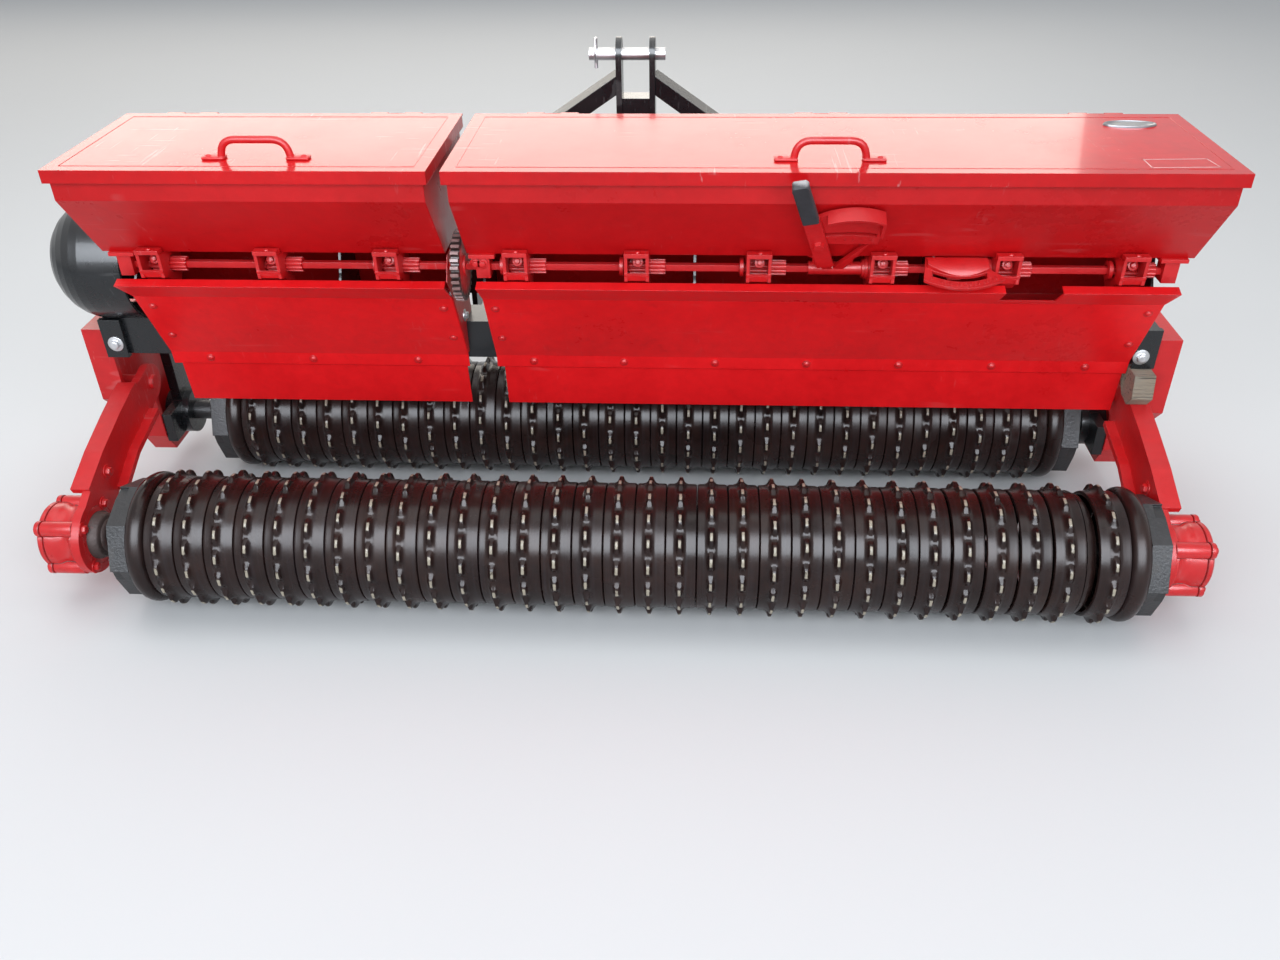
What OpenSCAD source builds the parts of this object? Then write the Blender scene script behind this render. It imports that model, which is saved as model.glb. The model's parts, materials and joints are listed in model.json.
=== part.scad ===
// Seed drill with two toothed press rollers for a three-point hitch.
// Millimetres. +X to the right seen from behind, +Y towards the tractor, +Z up.
// The ground is z = 0 and the origin is the middle of the bounding box's floor.

/* [Overall] */
// Distance between the two roller axles
axle_gap = 500; // [440:5:600]
// Reach of the lower hitch lugs ahead of the middle between the axles
front_reach = 492; // [450:1:600]
// Sideways offset of both seed boxes and shields
box_off = 23; // [0:1:40]
// Sideways offset of the whole frame with its bearings
frame_off = -20; // [-40:1:0]
// Reach of the drive guard's dome to the left of the middle
guard_reach = 1160; // [1150:1:1200]

/* [Rollers] */
// Radius over the tips of the ring teeth
tip_r = 135; // [120:1:150]
// Radius at the bottom of the notches between the teeth
notch_r = 124; // [110:1:140]
// Radius of the smooth bands beside the crest
shoulder_r = 120; // [100:1:123]
// Radius at the bottom of the seam between two rings
seam_r = 112; // [95:1:116]
// Pitch of the rings along the axle
ring_pitch = 58; // [50:0.5:65]
// Rings on each roller
ring_n = 31; // [10:1:40]
// Teeth on each ring
tooth_n = 17; // [12:1:28]
// Width of the crest at the tips
crest_w = 6; // [4:0.5:12]
// Place of the crest across its ring, from 0 at the left to 1 at the right
crest_at = 0.46; // [0.35:0.01:0.65]
// Largest radius of the smooth end rings
end_r = 129; // [121:1:133]
// Gap left before the last ring of the rear roller
ring_gap = 22; // [0:1:40]
// Width of the smooth end ring
end_ring_w = 37; // [20:1:60]
// Width of the end collar
collar_w = 36; // [20:1:60]
// Radius of the end collar over its corners
collar_r = 117; // [60:1:120]
// Radius of the roller axle
axle_r = 22; // [15:0.5:30]
// Play between the last rings of the rear roller
loose_gap = 2.9; // [0:0.1:6]
// Number of those gaps
loose_n = 4; // [0:1:8]
// Sideways offset of the front roller
roll_off = 8; // [0:1:20]
// Left end of the rear ring stack
rear_start = -902; // [-930:1:-880]

/* [Seed boxes] */
// Height of the underside of the lids
lid_z = 844; // [780:1:900]
// Reach of the lids over the boxes' upright band
lid_reach = 10; // [6:0.5:20]
// Sheet thickness of the lids
lid_t = 3; // [2:0.5:5]
// Depth of the folded lip of the lids
lip_h = 20; // [10:1:40]
// Sheet thickness of the boxes
box_t = 3; // [2:0.5:5]
// Half depth of the box at its upright band
box_half = 164.5; // [150:0.5:220]
// Height of the fold between band and slope
fold_z = 790.5; // [740:0.5:820]
// Height of the underside of the box
box_bot = 659; // [600:1:700]
// Half depth of the box floor
bot_half = 66; // [40:1:90]
// Gap between the rim of a box and its lid
rim_gap = 5; // [3:0.5:8]
// Height of the hinge axis above the underside of the lids
hinge_dz = -5; // [-8:0.5:4]
// Radius of the hinge rods
hinge_rod_r = 3; // [2:0.5:5]

/* [Feed] */
// Pitch of the feed cups
cup_pitch = 221.8; // [180:0.1:260]
// Sideways position of the first feed cup
cup_first = -879; // [-900:1:-850]
// Feed cups in all
cup_n = 9; // [4:1:12]
// Feed cups under the left box
cup_left_n = 3; // [1:1:6]
// Extra step between the cups of the two boxes
cup_shift = 16; // [0:1:60]
// Width of a feed cup
cup_w = 45; // [30:1:60]
// Height of a feed cup
cup_h = 62; // [40:1:80]
// Plate thickness of a feed cup
cup_t = 6; // [3:0.5:8]
// Width across the flats of the feed shaft
feed_sq = 12; // [8:0.5:20]
// Height of the feed shaft
feed_z = 629; // [600:1:660]
// Depth position of the feed shaft
feed_y = -50; // [-80:1:0]
// Outer radius of a fluted roller
flute_r = 14; // [10:0.5:20]
// Flutes on a fluted roller
flute_n = 12; // [8:1:16]
// Length of a fluted roller
flute_l = 66; // [50:1:100]
// Tip radius of the feed gear
gear_r = 66; // [50:1:80]
// Teeth of the feed gear
gear_n = 30; // [20:1:40]
// Face width of the feed gear
gear_w = 15; // [8:1:25]

/* [Shields] */
// Sheet thickness of the shields
shield_t = 3; // [2:0.5:5]
// Height where a shield ends and its flap starts
flap_z = 372; // [360:1:380]
// Lower edge of the flaps
flap_bot = 279; // [240:1:320]

/* [Frame] */
// Side of the main beam
beam_s = 80; // [60:1:120]
// Wall of the main beam
beam_t = 6; // [3:0.5:10]
// Height of the underside of the main beam
beam_z = 392; // [350:1:430]
// Depth position of the rear face of the main beam
beam_y = 38; // [20:1:60]
// Sideways clearance between the rear roller's collars and the arms, its offset included
arm_gap = 41.2; // [40:0.1:60]
// Step from the arms' inner faces to the end of the main beam
arm_step = 32; // [20:1:50]
// Outside width of a side frame
side_w = 52; // [40:1:80]
// Reach of a rear bearing outside its side frame
cap_out = 12.5; // [5:0.5:30]
// Thickness of a rear bearing's cap
cap_w = 17; // [10:0.5:24]
// Wall of the side frames
side_t = 12; // [8:1:20]

/* [Hitch] */
// Radius of the top link pin
top_pin_r = 12.5; // [9:0.1:16]
// Inside gap between the mast plates
mast_gap = 58; // [45:1:70]
// Thickness of the mast plates
mast_t = 12; // [8:1:20]
// Height of the top link pin above the lower pins
mast_h = 610; // [440:1:700]
// Height of the lower link pins
low_pin_z = 287; // [250:1:450]
// Radius of the lower link pins
low_pin_r = 14; // [10:0.1:20]
// Spread of the lower link points
low_spread = 825; // [600:1:900]
// Step between the two plates of a lower lug
lug_step = 48; // [30:1:80]
// Free length of the lower pins outside the lugs
low_pin_free = 72; // [64:1:90]
// Length of the neck between a lug and the seat of the link ball
pin_neck = 6; // [3:1:10]
// Length of the seat of the link ball
ball_seat = 50; // [44:1:56]
// Plate thickness of the lower lugs
lug_t = 12; // [8:1:20]

/* [Hidden] */

$fn = 48;
red = "#c4161c";
black = "#1b1c1e";
iron = "#2c2422";
zinc = "#b9bcc0";

// Derived sizes
// a notch is cut by a circle whose centre lies a little outside the tips
notch_out = 3;
notch_cut = tip_r + notch_out - notch_r;
notch_edge = acos((tip_r * tip_r + pow(tip_r + notch_out, 2) - notch_cut * notch_cut)
  / (2 * tip_r * (tip_r + notch_out)));
axle_z = tip_r * cos(notch_edge);
rear_tip = axle_gap / 2 + tip_r * cos(notch_edge);
mid_y = (rear_tip - front_reach) / 2;
rear_y = -axle_gap / 2;
front_y = axle_gap / 2;
run_gap = 0.05;
seat = 0.15;
stack_l = ring_n * ring_pitch;
rear_half = (stack_l + loose_n * loose_gap + ring_gap) / 2;
rear_off = rear_start + rear_half;
// The frame is as wide as the rear roller asks for: arms, beam, side frames and bearings.
arm_x = rear_half + end_ring_w + collar_w + arm_gap;
beam_half = arm_x + arm_step;
side_half = beam_half + side_w;
half_w = side_half + cap_out;
mid_x = (guard_reach - half_w - frame_off) / 2;
// half width of a crest where it leaves the band, radius of its root, and the chamfer at a seam
flank_w = 14;
root_r = notch_r - 1;
edge_w = 4;
edge_h = 2.5;
seam_w = 0.4;
top_pin_z = low_pin_z + mast_h;
top_pin_y = 440;
lug_r = 36;
low_pin_y = front_reach - lug_r;
bar_y = 370;
bar_z = 385;
bar_s = 70;
bar_half = 400;
// outer faces of the two plates of each lug
lug_x = [low_spread / 2 - 28, low_spread / 2 - 28 - lug_step];
rim_z = lid_z - rim_gap;
lid_half = box_half + lid_reach;
hinge_y = lid_half + 7;
hinge_z = lid_z + hinge_dz;
// pivot of the arms and the width of their top flange
arm_pivot = [100, 290];
arm_w = 38;
// face between a rear bearing and its cap, and the end of the rear axle
cap_in = half_w - cap_w;
axle_end = half_w - 20;
seal_l = 42;
guard_r = 120;
guard_y = 90;
guard_z = 580;
guard_l = 181;
guard_dome = 100;

// columns of each box: left end, right end of the lid
lid_x = [[-985 - 23 + box_off, -322 - 23 + box_off], [-298 - 23 + box_off, 1029 - 23 + box_off]];
lid_over = 8;
// Sideways place of feed cup k.
function cup_x(k) = cup_first + k * cup_pitch + (k < cup_left_n ? 0 : cup_shift);
quad_x = 374;
quad_lean = atan2(box_half - bot_half, fold_z - box_bot);
quad_t = 8;
quad_c = [26, 97];
quad_r = 100;
quad_right = 76;
lever_turn = 15.5;
lever_l = 187;
grip_l = 107;
dial_x = 600;
dial_top = [-70, 651];
dial_lean = 23.5;
handle_r = 6.5;
handle_half = 58;
handle_rise = 33.5;
handle_y = -108;
foot_out = 36;
bend_r = 22;

// columns: y, z of the shield from its top flange down to the flap
shield_line = [[-88, 612], [-105, 606], [-50, 562], [34, 400], [37, flap_z]];
// The flap starts in front of the shield's lower edge and laps it.
lap = left_of(shield_line[3], shield_line[4]) * (shield_t + seat);
flap_line = [shield_line[3] * 0.55 + shield_line[4] * 0.45 + lap, shield_line[4] + lap,
  [52, flap_bot]];
// sideways places of the plates between beam, boxes and shields
stand_x = [-949 - 23 + box_off, -548, -333 - 23 + box_off, -269 - 23 + box_off, 130, 574,
  976 - 23 + box_off];
// left and right ends of the two shields
shield_x = [[-952 - 23 + box_off, -330 - 23 + box_off], [-272 - 23 + box_off, 998 - 23 + box_off]];

module at_mid() {
  translate([mid_x, mid_y, 0])
    children();
}

module at_frame() {
  translate([mid_x + frame_off, mid_y, 0])
    children();
}

// Draws a part on both sides of the frame.
module both_sides() {
  at_frame()
    for (s = [-1, 1])
      mirror([s < 0 ? 1 : 0, 0, 0])
        children();
}

// Extrudes a y-z outline from x0 to x1.
module along_x(x0, x1) {
  translate([x0, 0, 0])
    rotate([90, 0, 90])
      linear_extrude(height = x1 - x0)
        children();
}

// Cylinder along X from x0 to x1 around y, z.
module rod_x(x0, x1, y, z, r) {
  translate([x0, y, z])
    rotate([0, 90, 0])
      cylinder(r = r, h = x1 - x0);
}

// Box from one corner to the opposite one.
module block(p0, p1) {
  translate(p0)
    cube(p1 - p0);
}

// Unit normal to the left of the step from a to b.
function left_of(a, b) = [a[1] - b[1], b[0] - a[0]] / norm(b - a);

// Point of a folded sheet's face at corner i, h to the left of the line.
function face_point(line, i, h) =
  let (
    last = len(line) - 1,
    m = left_of(line[max(i - 1, 0)], line[max(i, 1)]),
    n = left_of(line[min(i, last - 1)], line[min(i + 1, last)])
  )
  line[i] + (m + n) * h / (1 + m * n);

// Outline of a folded sheet of thickness t that follows the points of a line.
module strip(line, t) {
  last = len(line) - 1;
  polygon(concat([for (i = [0 : last]) face_point(line, i, t / 2)],
    [for (i = [last : -1 : 0]) face_point(line, i, -t / 2)]));
}

// Square bar between two points, size s.
module square_bar(a, b, s) {
  d = b - a;
  l = norm(d);
  translate(a)
    rotate([0, acos(d[2] / l), atan2(d[1], d[0])])
      translate([-s / 2, -s / 2, 0])
        cube([s, s, l]);
}

// Rollers

// Half outline of ring i that starts at a: points [radius, place along the axle].
function ring_line(a) =
  let (c = a + ring_pitch * crest_at, b = a + ring_pitch)
  [[seam_r, a + seam_w], [shoulder_r - edge_h, a + seam_w], [shoulder_r, a + edge_w],
    [shoulder_r, c - flank_w], [root_r, c - crest_w / 2], [tip_r, c - crest_w / 2],
    [tip_r, c + crest_w / 2], [root_r, c + crest_w / 2], [shoulder_r, c + flank_w],
    [shoulder_r, b - edge_w], [shoulder_r - edge_h, b - seam_w], [seam_r, b - seam_w]];

// Smooth domed end ring that starts at a and points to dir.
function end_line(a, dir) = [for (p = [[seam_r, 0.4], [end_r - 5, 3], [end_r, 11], [end_r - 1, 20],
  [end_r - 6, 30], [end_r - 14, end_ring_w]]) [p[0], a + dir * p[1]]];

function turned_round(line) = [for (i = [len(line) - 1 : -1 : 0]) line[i]];

// Ring stack; gap is left before the last ring and loose between the few before it.
// The notches run through all crests.
module ring_stack(half, gap, loose) {
  starts = [for (i = [0 : ring_n - 1]) -half + i * ring_pitch
    + (i == ring_n - 1 ? gap : 0) + loose * min(max(i - ring_n + 2 + loose_n, 0), loose_n)];
  rings = [for (a = starts) for (p = ring_line(a)) p];
  bore = axle_r + seat;
  rotate([0, 90, 0])
    difference() {
      rotate_extrude($fn = 64)
        polygon(concat(turned_round(end_line(-half, -1)), rings, end_line(half, 1),
          [[bore, half + end_ring_w], [bore, -half - end_ring_w]]));
      for (i = [0 : tooth_n - 1])
        rotate(i * 360 / tooth_n)
          translate([tip_r + notch_out, 0, -half])
            cylinder(r = notch_cut, h = 2 * half, $fn = 24);
    }
}

// Axle with its two end collars; half is the half length of the ring stack, off its offset.
module axle(half, reach, off) {
  rod_x(frame_off - off - reach, frame_off - off + reach, 0, 0, axle_r);
  for (s = [-1, 1])
    translate([s * (half + end_ring_w + collar_w / 2), 0, 0])
      rotate([0, 90, 0])
        difference() {
          cylinder(r = collar_r, h = collar_w, center = true, $fn = 8);
          for (i = [0 : 3])
            rotate(i * 90 + 12)
              translate([collar_r + 12, 0, s * collar_w / 2])
                cube([40, 46, collar_w], center = true);
        }
}

module rear_rings() {
  color(iron)
    at_mid()
      translate([rear_off, rear_y, axle_z])
        ring_stack(rear_half, ring_gap, loose_gap);
}

module rear_axle() {
  color(black)
    at_mid()
      translate([rear_off, rear_y, axle_z])
        axle(rear_half, axle_end, rear_off);
}

module front_rings() {
  color(iron)
    at_mid()
      translate([roll_off, front_y, axle_z])
        ring_stack(stack_l / 2, 0, 0);
}

module front_axle() {
  color(black)
    at_mid()
      translate([roll_off, front_y, axle_z])
        axle(stack_l / 2, beam_half + 8, roll_off);
}

// Seed boxes

function box_outline(t) = [[-box_half + t, rim_z + (t > 0 ? 1 : 0)],
  [-box_half + t, fold_z + t * 0.4], [-bot_half + t * 0.6, box_bot + t],
  [bot_half - t * 0.6, box_bot + t], [box_half - t, fold_z + t * 0.4],
  [box_half - t, rim_z + (t > 0 ? 1 : 0)]];

module seed_box(i) {
  x0 = lid_x[i][0] + lid_over;
  x1 = lid_x[i][1] - lid_over;
  difference() {
    along_x(x0, x1)
      polygon(box_outline(0));
    along_x(x0 + box_t, x1 - box_t)
      polygon(box_outline(box_t));
    for (k = [0 : cup_n - 1]) {
      cx = cup_x(k);
      if (cx > x0 && cx < x1)
        block([cx - 14, feed_y - 6, box_bot - 1], [cx + 14, feed_y + 34, box_bot + box_t + 1]);
    }
  }
}

module seed_box_left() {
  color(red)
    at_mid()
      seed_box(0);
}

module seed_box_right() {
  color(red)
    at_mid()
      seed_box(1);
}

module lid(i) {
  x0 = lid_x[i][0];
  x1 = lid_x[i][1];
  y0 = -lid_half;
  y1 = lid_half - 1;
  block([x0, y0, lid_z], [x1, y1, lid_z + lid_t]);
  block([x0, y0, lid_z - lip_h], [x1, y0 + lid_t, lid_z + 1]);
  block([x0, y0, lid_z - lip_h], [x0 + lid_t, y1 - 8, lid_z + 1]);
  block([x1 - lid_t, y0, lid_z - lip_h], [x1, y1 - 8, lid_z + 1]);
  for (h = hinge_at(i))
    difference() {
      union() {
        rod_x(h - 50, h - 16, hinge_y, hinge_z, 6.5);
        rod_x(h + 16, h + 50, hinge_y, hinge_z, 6.5);
        block([h - 50, y1 - 20, lid_z], [h - 16, hinge_y, lid_z + lid_t]);
        block([h + 16, y1 - 20, lid_z], [h + 50, hinge_y, lid_z + lid_t]);
      }
      rod_x(h - 60, h + 60, hinge_y, hinge_z, hinge_rod_r + run_gap);
    }
}

function hinge_at(i) = i == 0 ? [lid_x[0][0] + 130, lid_x[0][1] - 130]
  : [lid_x[1][0] + 150, (lid_x[1][0] + lid_x[1][1]) / 2, lid_x[1][1] - 150];

module lid_left() {
  color(red)
    at_mid()
      lid(0);
}

module lid_right() {
  color(red)
    at_mid()
      lid(1);
}

// Fixed halves of the hinges: leaf, knuckle and rod.
module lid_hinges() {
  color(red)
    at_mid()
      for (i = [0, 1])
        for (h = hinge_at(i)) {
          rod_x(h - 15, h + 15, hinge_y, hinge_z, 6.5);
          rod_x(h - 54, h + 54, hinge_y, hinge_z, hinge_rod_r);
          block([h - 15, box_half, hinge_z - 14], [h + 15, hinge_y, hinge_z - 8]);
          block([h - 15, hinge_y - 3, hinge_z - 14], [h + 15, hinge_y + 3, hinge_z]);
          block([h - 15, box_half, hinge_z - 46], [h + 15, box_half + 4, hinge_z - 8]);
        }
}

// Bent round bar handle with two flat feet.
module handle(x) {
  translate([x, handle_y, lid_z + lid_t]) {
    for (s = [-1, 1])
      mirror([s < 0 ? 1 : 0, 0, 0]) {
        block([handle_half - 15, -14, 0], [handle_half + foot_out, 14, 3]);
        translate([handle_half, 0, 0])
          cylinder(r = handle_r, h = handle_rise - bend_r);
        translate([handle_half - bend_r, 0, handle_rise - bend_r])
          rotate([90, 0, 0])
            rotate_extrude(angle = 90)
              translate([bend_r, 0])
                circle(r = handle_r);
      }
    rod_x(bend_r - handle_half, handle_half - bend_r, 0, handle_rise, handle_r);
  }
}

module handle_left() {
  color(red)
    at_mid()
      handle(-630);
}

module handle_right() {
  color(red)
    at_mid()
      handle(355);
}

// Feed

module feed_cups() {
  color(red)
    at_mid()
      for (k = [0 : cup_n - 1])
        translate([cup_x(k), 0, 0])
          feed_cup();
}

module feed_cup() {
  w = cup_w / 2;
  top = box_bot;
  bot = box_bot - cup_h;
  lip = top - 41;
  y0 = feed_y - 44;
  y1 = feed_y + 40;
  difference() {
    union() {
      for (s = [-1, 1])
        translate([s * (w - cup_t / 2), 0, 0])
          along_x(-cup_t / 2, cup_t / 2)
            polygon([[y0, top + 5], [y0, lip], [y0 + 18, lip - 6], [y0 + 34, bot],
              [y1 - 22, bot - 8], [y1, bot + 12], [y1, top], [-bot_half, top]]);
      block([-w, y0 - 3, top + 5], [w, y0 + 15, top + 13]);
      block([-w, y1 - 5, bot + 12], [w, y1, top]);
      along_x(-w, w)
        strip([[y0 - 1, lip + 15], [y0 + 7, lip]], 4);
      along_x(-w, w)
        strip([[y0 + 6, lip + 2], [y0 + 18, lip - 4], [y0 + 34, bot + 2], [y1 - 22, bot - 5],
          [y1 - 3, bot + 14]], 4);
    }
    rod_x(-w - 1, w + 1, feed_y, feed_z, flute_r + 2);
  }
}

module feed_shaft() {
  color(red)
    at_mid() {
      x0 = cup_first - 79;
      x1 = cup_x(cup_n - 1) + 84;
      block([x0, feed_y - feed_sq / 2, feed_z - feed_sq / 2],
        [x1, feed_y + feed_sq / 2, feed_z + feed_sq / 2]);
      for (b = bearing_at)
        rod_x(b - 13, b + 13, feed_y, feed_z, 9);
    }
}

gear_x = -306 - 23 + box_off;
bearing_at = [-940 - 23 + box_off, -262 - 23 + box_off, 986 - 23 + box_off];

module fluted_rollers() {
  color(red)
    at_mid()
      for (k = [0 : cup_n - 1])
        translate([cup_x(k) - cup_w / 2 + 8, feed_y, feed_z])
          rotate([90, 0, 90])
            linear_extrude(height = flute_l)
              difference() {
                circle(r = flute_r, $fn = 48);
                for (i = [0 : flute_n - 1])
                  rotate(i * 360 / flute_n)
                    translate([flute_r, 0])
                      circle(r = 3.2, $fn = 16);
                square(feed_sq + 2 * seat, center = true);
              }
}

module feed_gear() {
  color(black)
    at_mid()
      translate([gear_x - gear_w / 2, feed_y, feed_z])
        rotate([90, 0, 90])
          difference() {
            union() {
              linear_extrude(height = gear_w)
                difference() {
                  circle(r = gear_r, $fn = 120);
                  for (i = [0 : gear_n - 1])
                    rotate(i * 360 / gear_n)
                      translate([gear_r + 1, 0])
                        polygon([[-10, -1.6], [1, -4.6], [1, 4.6], [-10, 1.6]]);
                }
              translate([0, 0, -3])
                cylinder(r = 20, h = gear_w + 6);
            }
            translate([0, 0, gear_w / 2])
              cube([feed_sq + 2 * seat, feed_sq + 2 * seat, 60], center = true);
          }
}

// Blocks that carry the feed shaft under the boxes.
module shaft_bearings() {
  color(red)
    at_mid()
      for (b = bearing_at)
        difference() {
          union() {
            block([b - 13, feed_y - 17, feed_z - 18], [b + 13, feed_y + 17, box_bot]);
            block([b - 24, feed_y - 24, box_bot - 7], [b + 24, feed_y + 20, box_bot]);
          }
          rod_x(b - 20, b + 20, feed_y, feed_z, 9 + run_gap);
        }
}

// Rate lever, its quadrant and the dial

// Leans the sheet of a quadrant back along the slope of the box.
module on_slope(x) {
  translate([x, feed_y, feed_z])
    rotate([quad_lean, 0, 0])
      rotate([90, 0, 0])
        children();
}

// Sleeve around the feed shaft that carries a casting; its flange seats on feed cup k.
module sleeve(x0, k) {
  x1 = cup_x(k) - cup_w / 2 - seat;
  rod_x(x0, x1, feed_y, feed_z, 12.5);
  rod_x(x1 - 5, x1, feed_y, feed_z, 21);
}

// Bore for the square shaft through a sleeve.
module sleeve_bore(x0, k) {
  rod_x(x0 - 1, cup_x(k) - cup_w / 2 + 1, feed_y, feed_z, 10.5);
}

// Fan plate of the quadrant; quad_c is the centre of its round rim.
module quadrant_plate() {
  difference() {
    union() {
      intersection() {
        translate(quad_c)
          circle(r = quad_r, $fn = 96);
        translate([-38, 95])
          square([quad_right + 38, 120]);
      }
      polygon([[-38, 120], [-24, 107], [8, 6], [-10, 6]]);
      polygon([[quad_right, 152], [quad_right, 132], [24, 2], [8, 12], [70, 112]]);
    }
    translate([24, -113])
      intersection() {
        difference() {
          circle(r = 246, $fn = 96);
          circle(r = 236, $fn = 96);
        }
        translate([-44, 200])
          square([90, 60]);
      }
  }
}

// Hood that stands up along the rim of the quadrant.
module quadrant_hood() {
  intersection() {
    translate(quad_c)
      difference() {
        circle(r = quad_r, $fn = 96);
        circle(r = quad_r - 5, $fn = 96);
      }
    translate([-22, 95])
      square([quad_right + 22, 120]);
  }
  polygon([[quad_right - 5, 186], [quad_right, 183], [quad_right, 140], [quad_right - 5, 144]]);
}

module rate_quadrant() {
  x0 = quad_x - 36;
  color(red)
    at_mid()
      difference() {
        union() {
          sleeve(x0, 6);
          on_slope(quad_x) {
            linear_extrude(height = quad_t)
              quadrant_plate();
            linear_extrude(height = quad_t + 18)
              quadrant_hood();
          }
        }
        sleeve_bore(x0, 6);
      }
}

module rate_lever() {
  color(red)
    at_mid()
      on_slope(quad_x)
        translate([0, 0, quad_t + seat])
          rotate(lever_turn) {
            translate([-15, 29])
              cube([30, lever_l - 29, 7]);
            translate([0, 106, 7])
              cylinder(r = 10, h = 7, $fn = 6);
          }
}

// Rubber grip with rounded edges, pushed on the end of the lever.
module lever_grip() {
  color("#202124")
    at_mid()
      on_slope(quad_x)
        translate([0, 0, quad_t + seat])
          rotate(lever_turn)
            translate([0, lever_l + seat, 0]) {
              translate([0, 0, 8])
                rotate([-90, 0, 0])
                  linear_extrude(height = grip_l - 10)
                    grip_outline();
              translate([0, grip_l - 10, 0])
                linear_extrude(height = 16)
                  intersection() {
                    circle(r = 14);
                    translate([-14, 0])
                      square([28, 10]);
                  }
            }
}

module grip_outline() {
  square([28, 10], center = true);
  square([22, 16], center = true);
  for (sx = [-1, 1])
    for (sy = [-1, 1])
      translate([sx * 11, sy * 5])
        circle(r = 3);
}

// Plan of the dial; its round rim faces back.
module dial_plate() {
  difference() {
    intersection() {
      translate([6, 60])
        circle(r = 130, $fn = 96);
      polygon([[-54, 5], [54, 5], [60, -27], [82, -44], [76, -90], [-70, -90], [-62, -48]]);
    }
    intersection() {
      translate([6, 60])
        difference() {
          circle(r = 114, $fn = 96);
          circle(r = 102, $fn = 96);
        }
      translate([-46, -60])
        square([96, 60]);
    }
  }
}

// Second scale: a sloping plate with a slot and a round-backed hood.
module rate_dial() {
  x0 = dial_x - 32;
  color(red)
    at_mid()
      difference() {
        union() {
          sleeve(x0, 7);
          block([dial_x - 12, dial_top[0] - 8, feed_z - 10], [dial_x + 12, feed_y, dial_top[1]]);
          translate([dial_x, dial_top[0], dial_top[1]])
            rotate([dial_lean, 0, 0]) {
              linear_extrude(height = 6)
                dial_plate();
              intersection() {
                translate([-54, -18, -18])
                  rotate([0, 90, 0])
                    cylinder(r = 34, h = 108, $fn = 96);
                translate([6, 60, 5])
                  cylinder(r = 101, h = 20, $fn = 96);
                translate([-60, -60, 5])
                  cube([120, 60, 20]);
              }
            }
        }
        sleeve_bore(x0, 7);
      }
}

// Shields

module shield(i) {
  along_x(shield_x[i][0], shield_x[i][1])
    strip(shield_line, shield_t);
}

module shield_left() {
  color(red)
    at_mid()
      shield(0);
}

module shield_right() {
  color(red)
    at_mid()
      difference() {
        shield(1);
        block([690, -140, 575], [792, -40, 660]);
      }
}

module shield_flaps() {
  color(red)
    at_mid()
      for (i = [0, 1])
        along_x(shield_x[i][0] + 14, shield_x[i][1] - 6)
          strip(flap_line, shield_t);
}

// Sheets in front of the feed row that close the view under the boxes.
module feed_panels() {
  color(red)
    at_mid()
      for (x = shield_x)
        along_x(x[0], x[1])
          strip([[62.2, box_bot - 0.5], [91.7, 520]], shield_t);
}

// Drum-shaped guard of the feed drive at the left end, domed and open inside.
module drive_guard() {
  color(black)
    at_mid()
      difference() {
        translate([-guard_reach, guard_y, guard_z])
          rotate([0, 90, 0])
            rotate_extrude($fn = 96)
              polygon(concat(dome_line(guard_r, guard_dome), [[guard_r, guard_l],
                [guard_r - 4, guard_l]], turned_round(dome_line(guard_r - 4, guard_dome - 4))));
        block([frame_off - beam_half, beam_y - guard_r, beam_z],
          [0, beam_y + beam_s + guard_r, beam_z + beam_s]);
      }
}

// Quarter of an ellipse from the top of a dome of radius r and depth d to its rim.
function dome_line(r, d) = [for (a = [0 : 10 : 90]) [r * sin(a), guard_dome - d * cos(a)]];

// Frame

module main_beam() {
  color(black)
    at_frame()
      along_x(-beam_half, beam_half)
        difference() {
          translate([beam_y, beam_z])
            square(beam_s);
          translate([beam_y + beam_t, beam_z + beam_t])
            square(beam_s - 2 * beam_t);
        }
}

// Outline of a side frame in y and z.
side_line = [[38, 445], [330, 445], [372, 400], [372, 150], [330, 70], [180, 70],
  [150, 120], [150, 230], [70, 246], [38, 280]];

module side_frames() {
  color(red)
    both_sides()
      side_frame();
}

module side_frame() {
  difference() {
    along_x(beam_half, side_half)
      polygon(side_line);
    along_x(beam_half - 1, side_half - side_t)
      polygon([[50, 433], [324, 433], [360, 396], [360, 154], [322, 82], [188, 82],
        [162, 124], [162, 240], [76, 258], [50, 286]]);
  }
}

module beam_brackets() {
  color(black)
    both_sides()
      block([beam_half - 41, beam_y - 12, beam_z - 4], [beam_half + 4, beam_y, beam_z + beam_s]);
}

// Outline of a rear arm in y and z: top edge, housing, then back along the lower edge.
arm_top = [[36.4, 316.7], [10, 312], [-60, 292], [-150, 262], [-232, 226]];

module rear_arms() {
  color(red)
    both_sides()
      rear_arm();
}

module rear_arm() {
  difference() {
    union() {
      along_x(arm_x, arm_x + 16) {
        polygon([[100, 330], [66, 322], [10, 312], [-60, 292], [-150, 262], [-232, 226],
          [rear_y - 40, axle_z + 60], [rear_y + 30, axle_z - 62], [-150, 160], [-60, 205],
          [60, 235], [100, 250]]);
        translate(arm_pivot)
          circle(r = 40);
        translate([rear_y, axle_z])
          circle(r = 76);
      }
      along_x(arm_x, arm_x + arm_w)
        strip(arm_top, 14);
      along_x(arm_x - 20, arm_x)
        strip([[60, 242], [-60, 212], [-140, 172]], 12);
      rod_x(arm_x - 8, side_half - side_t, arm_pivot[0], arm_pivot[1], 16);
    }
    rod_x(arm_x - 5, arm_x + arm_w + 5, rear_y, axle_z, 60);
    rod_x(arm_x - 5, arm_x + arm_w + 5, -160, 226, 8);
  }
}

// Outline of a bearing housing: a square body with a round lobe for a bolt at each corner.
module house_outline() {
  translate([rear_y, axle_z]) {
    square(112, center = true);
    for (sy = [-1, 1])
      for (sz = [-1, 1])
        translate([sy * 47, sz * 47])
          circle(r = 17);
  }
}

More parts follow.
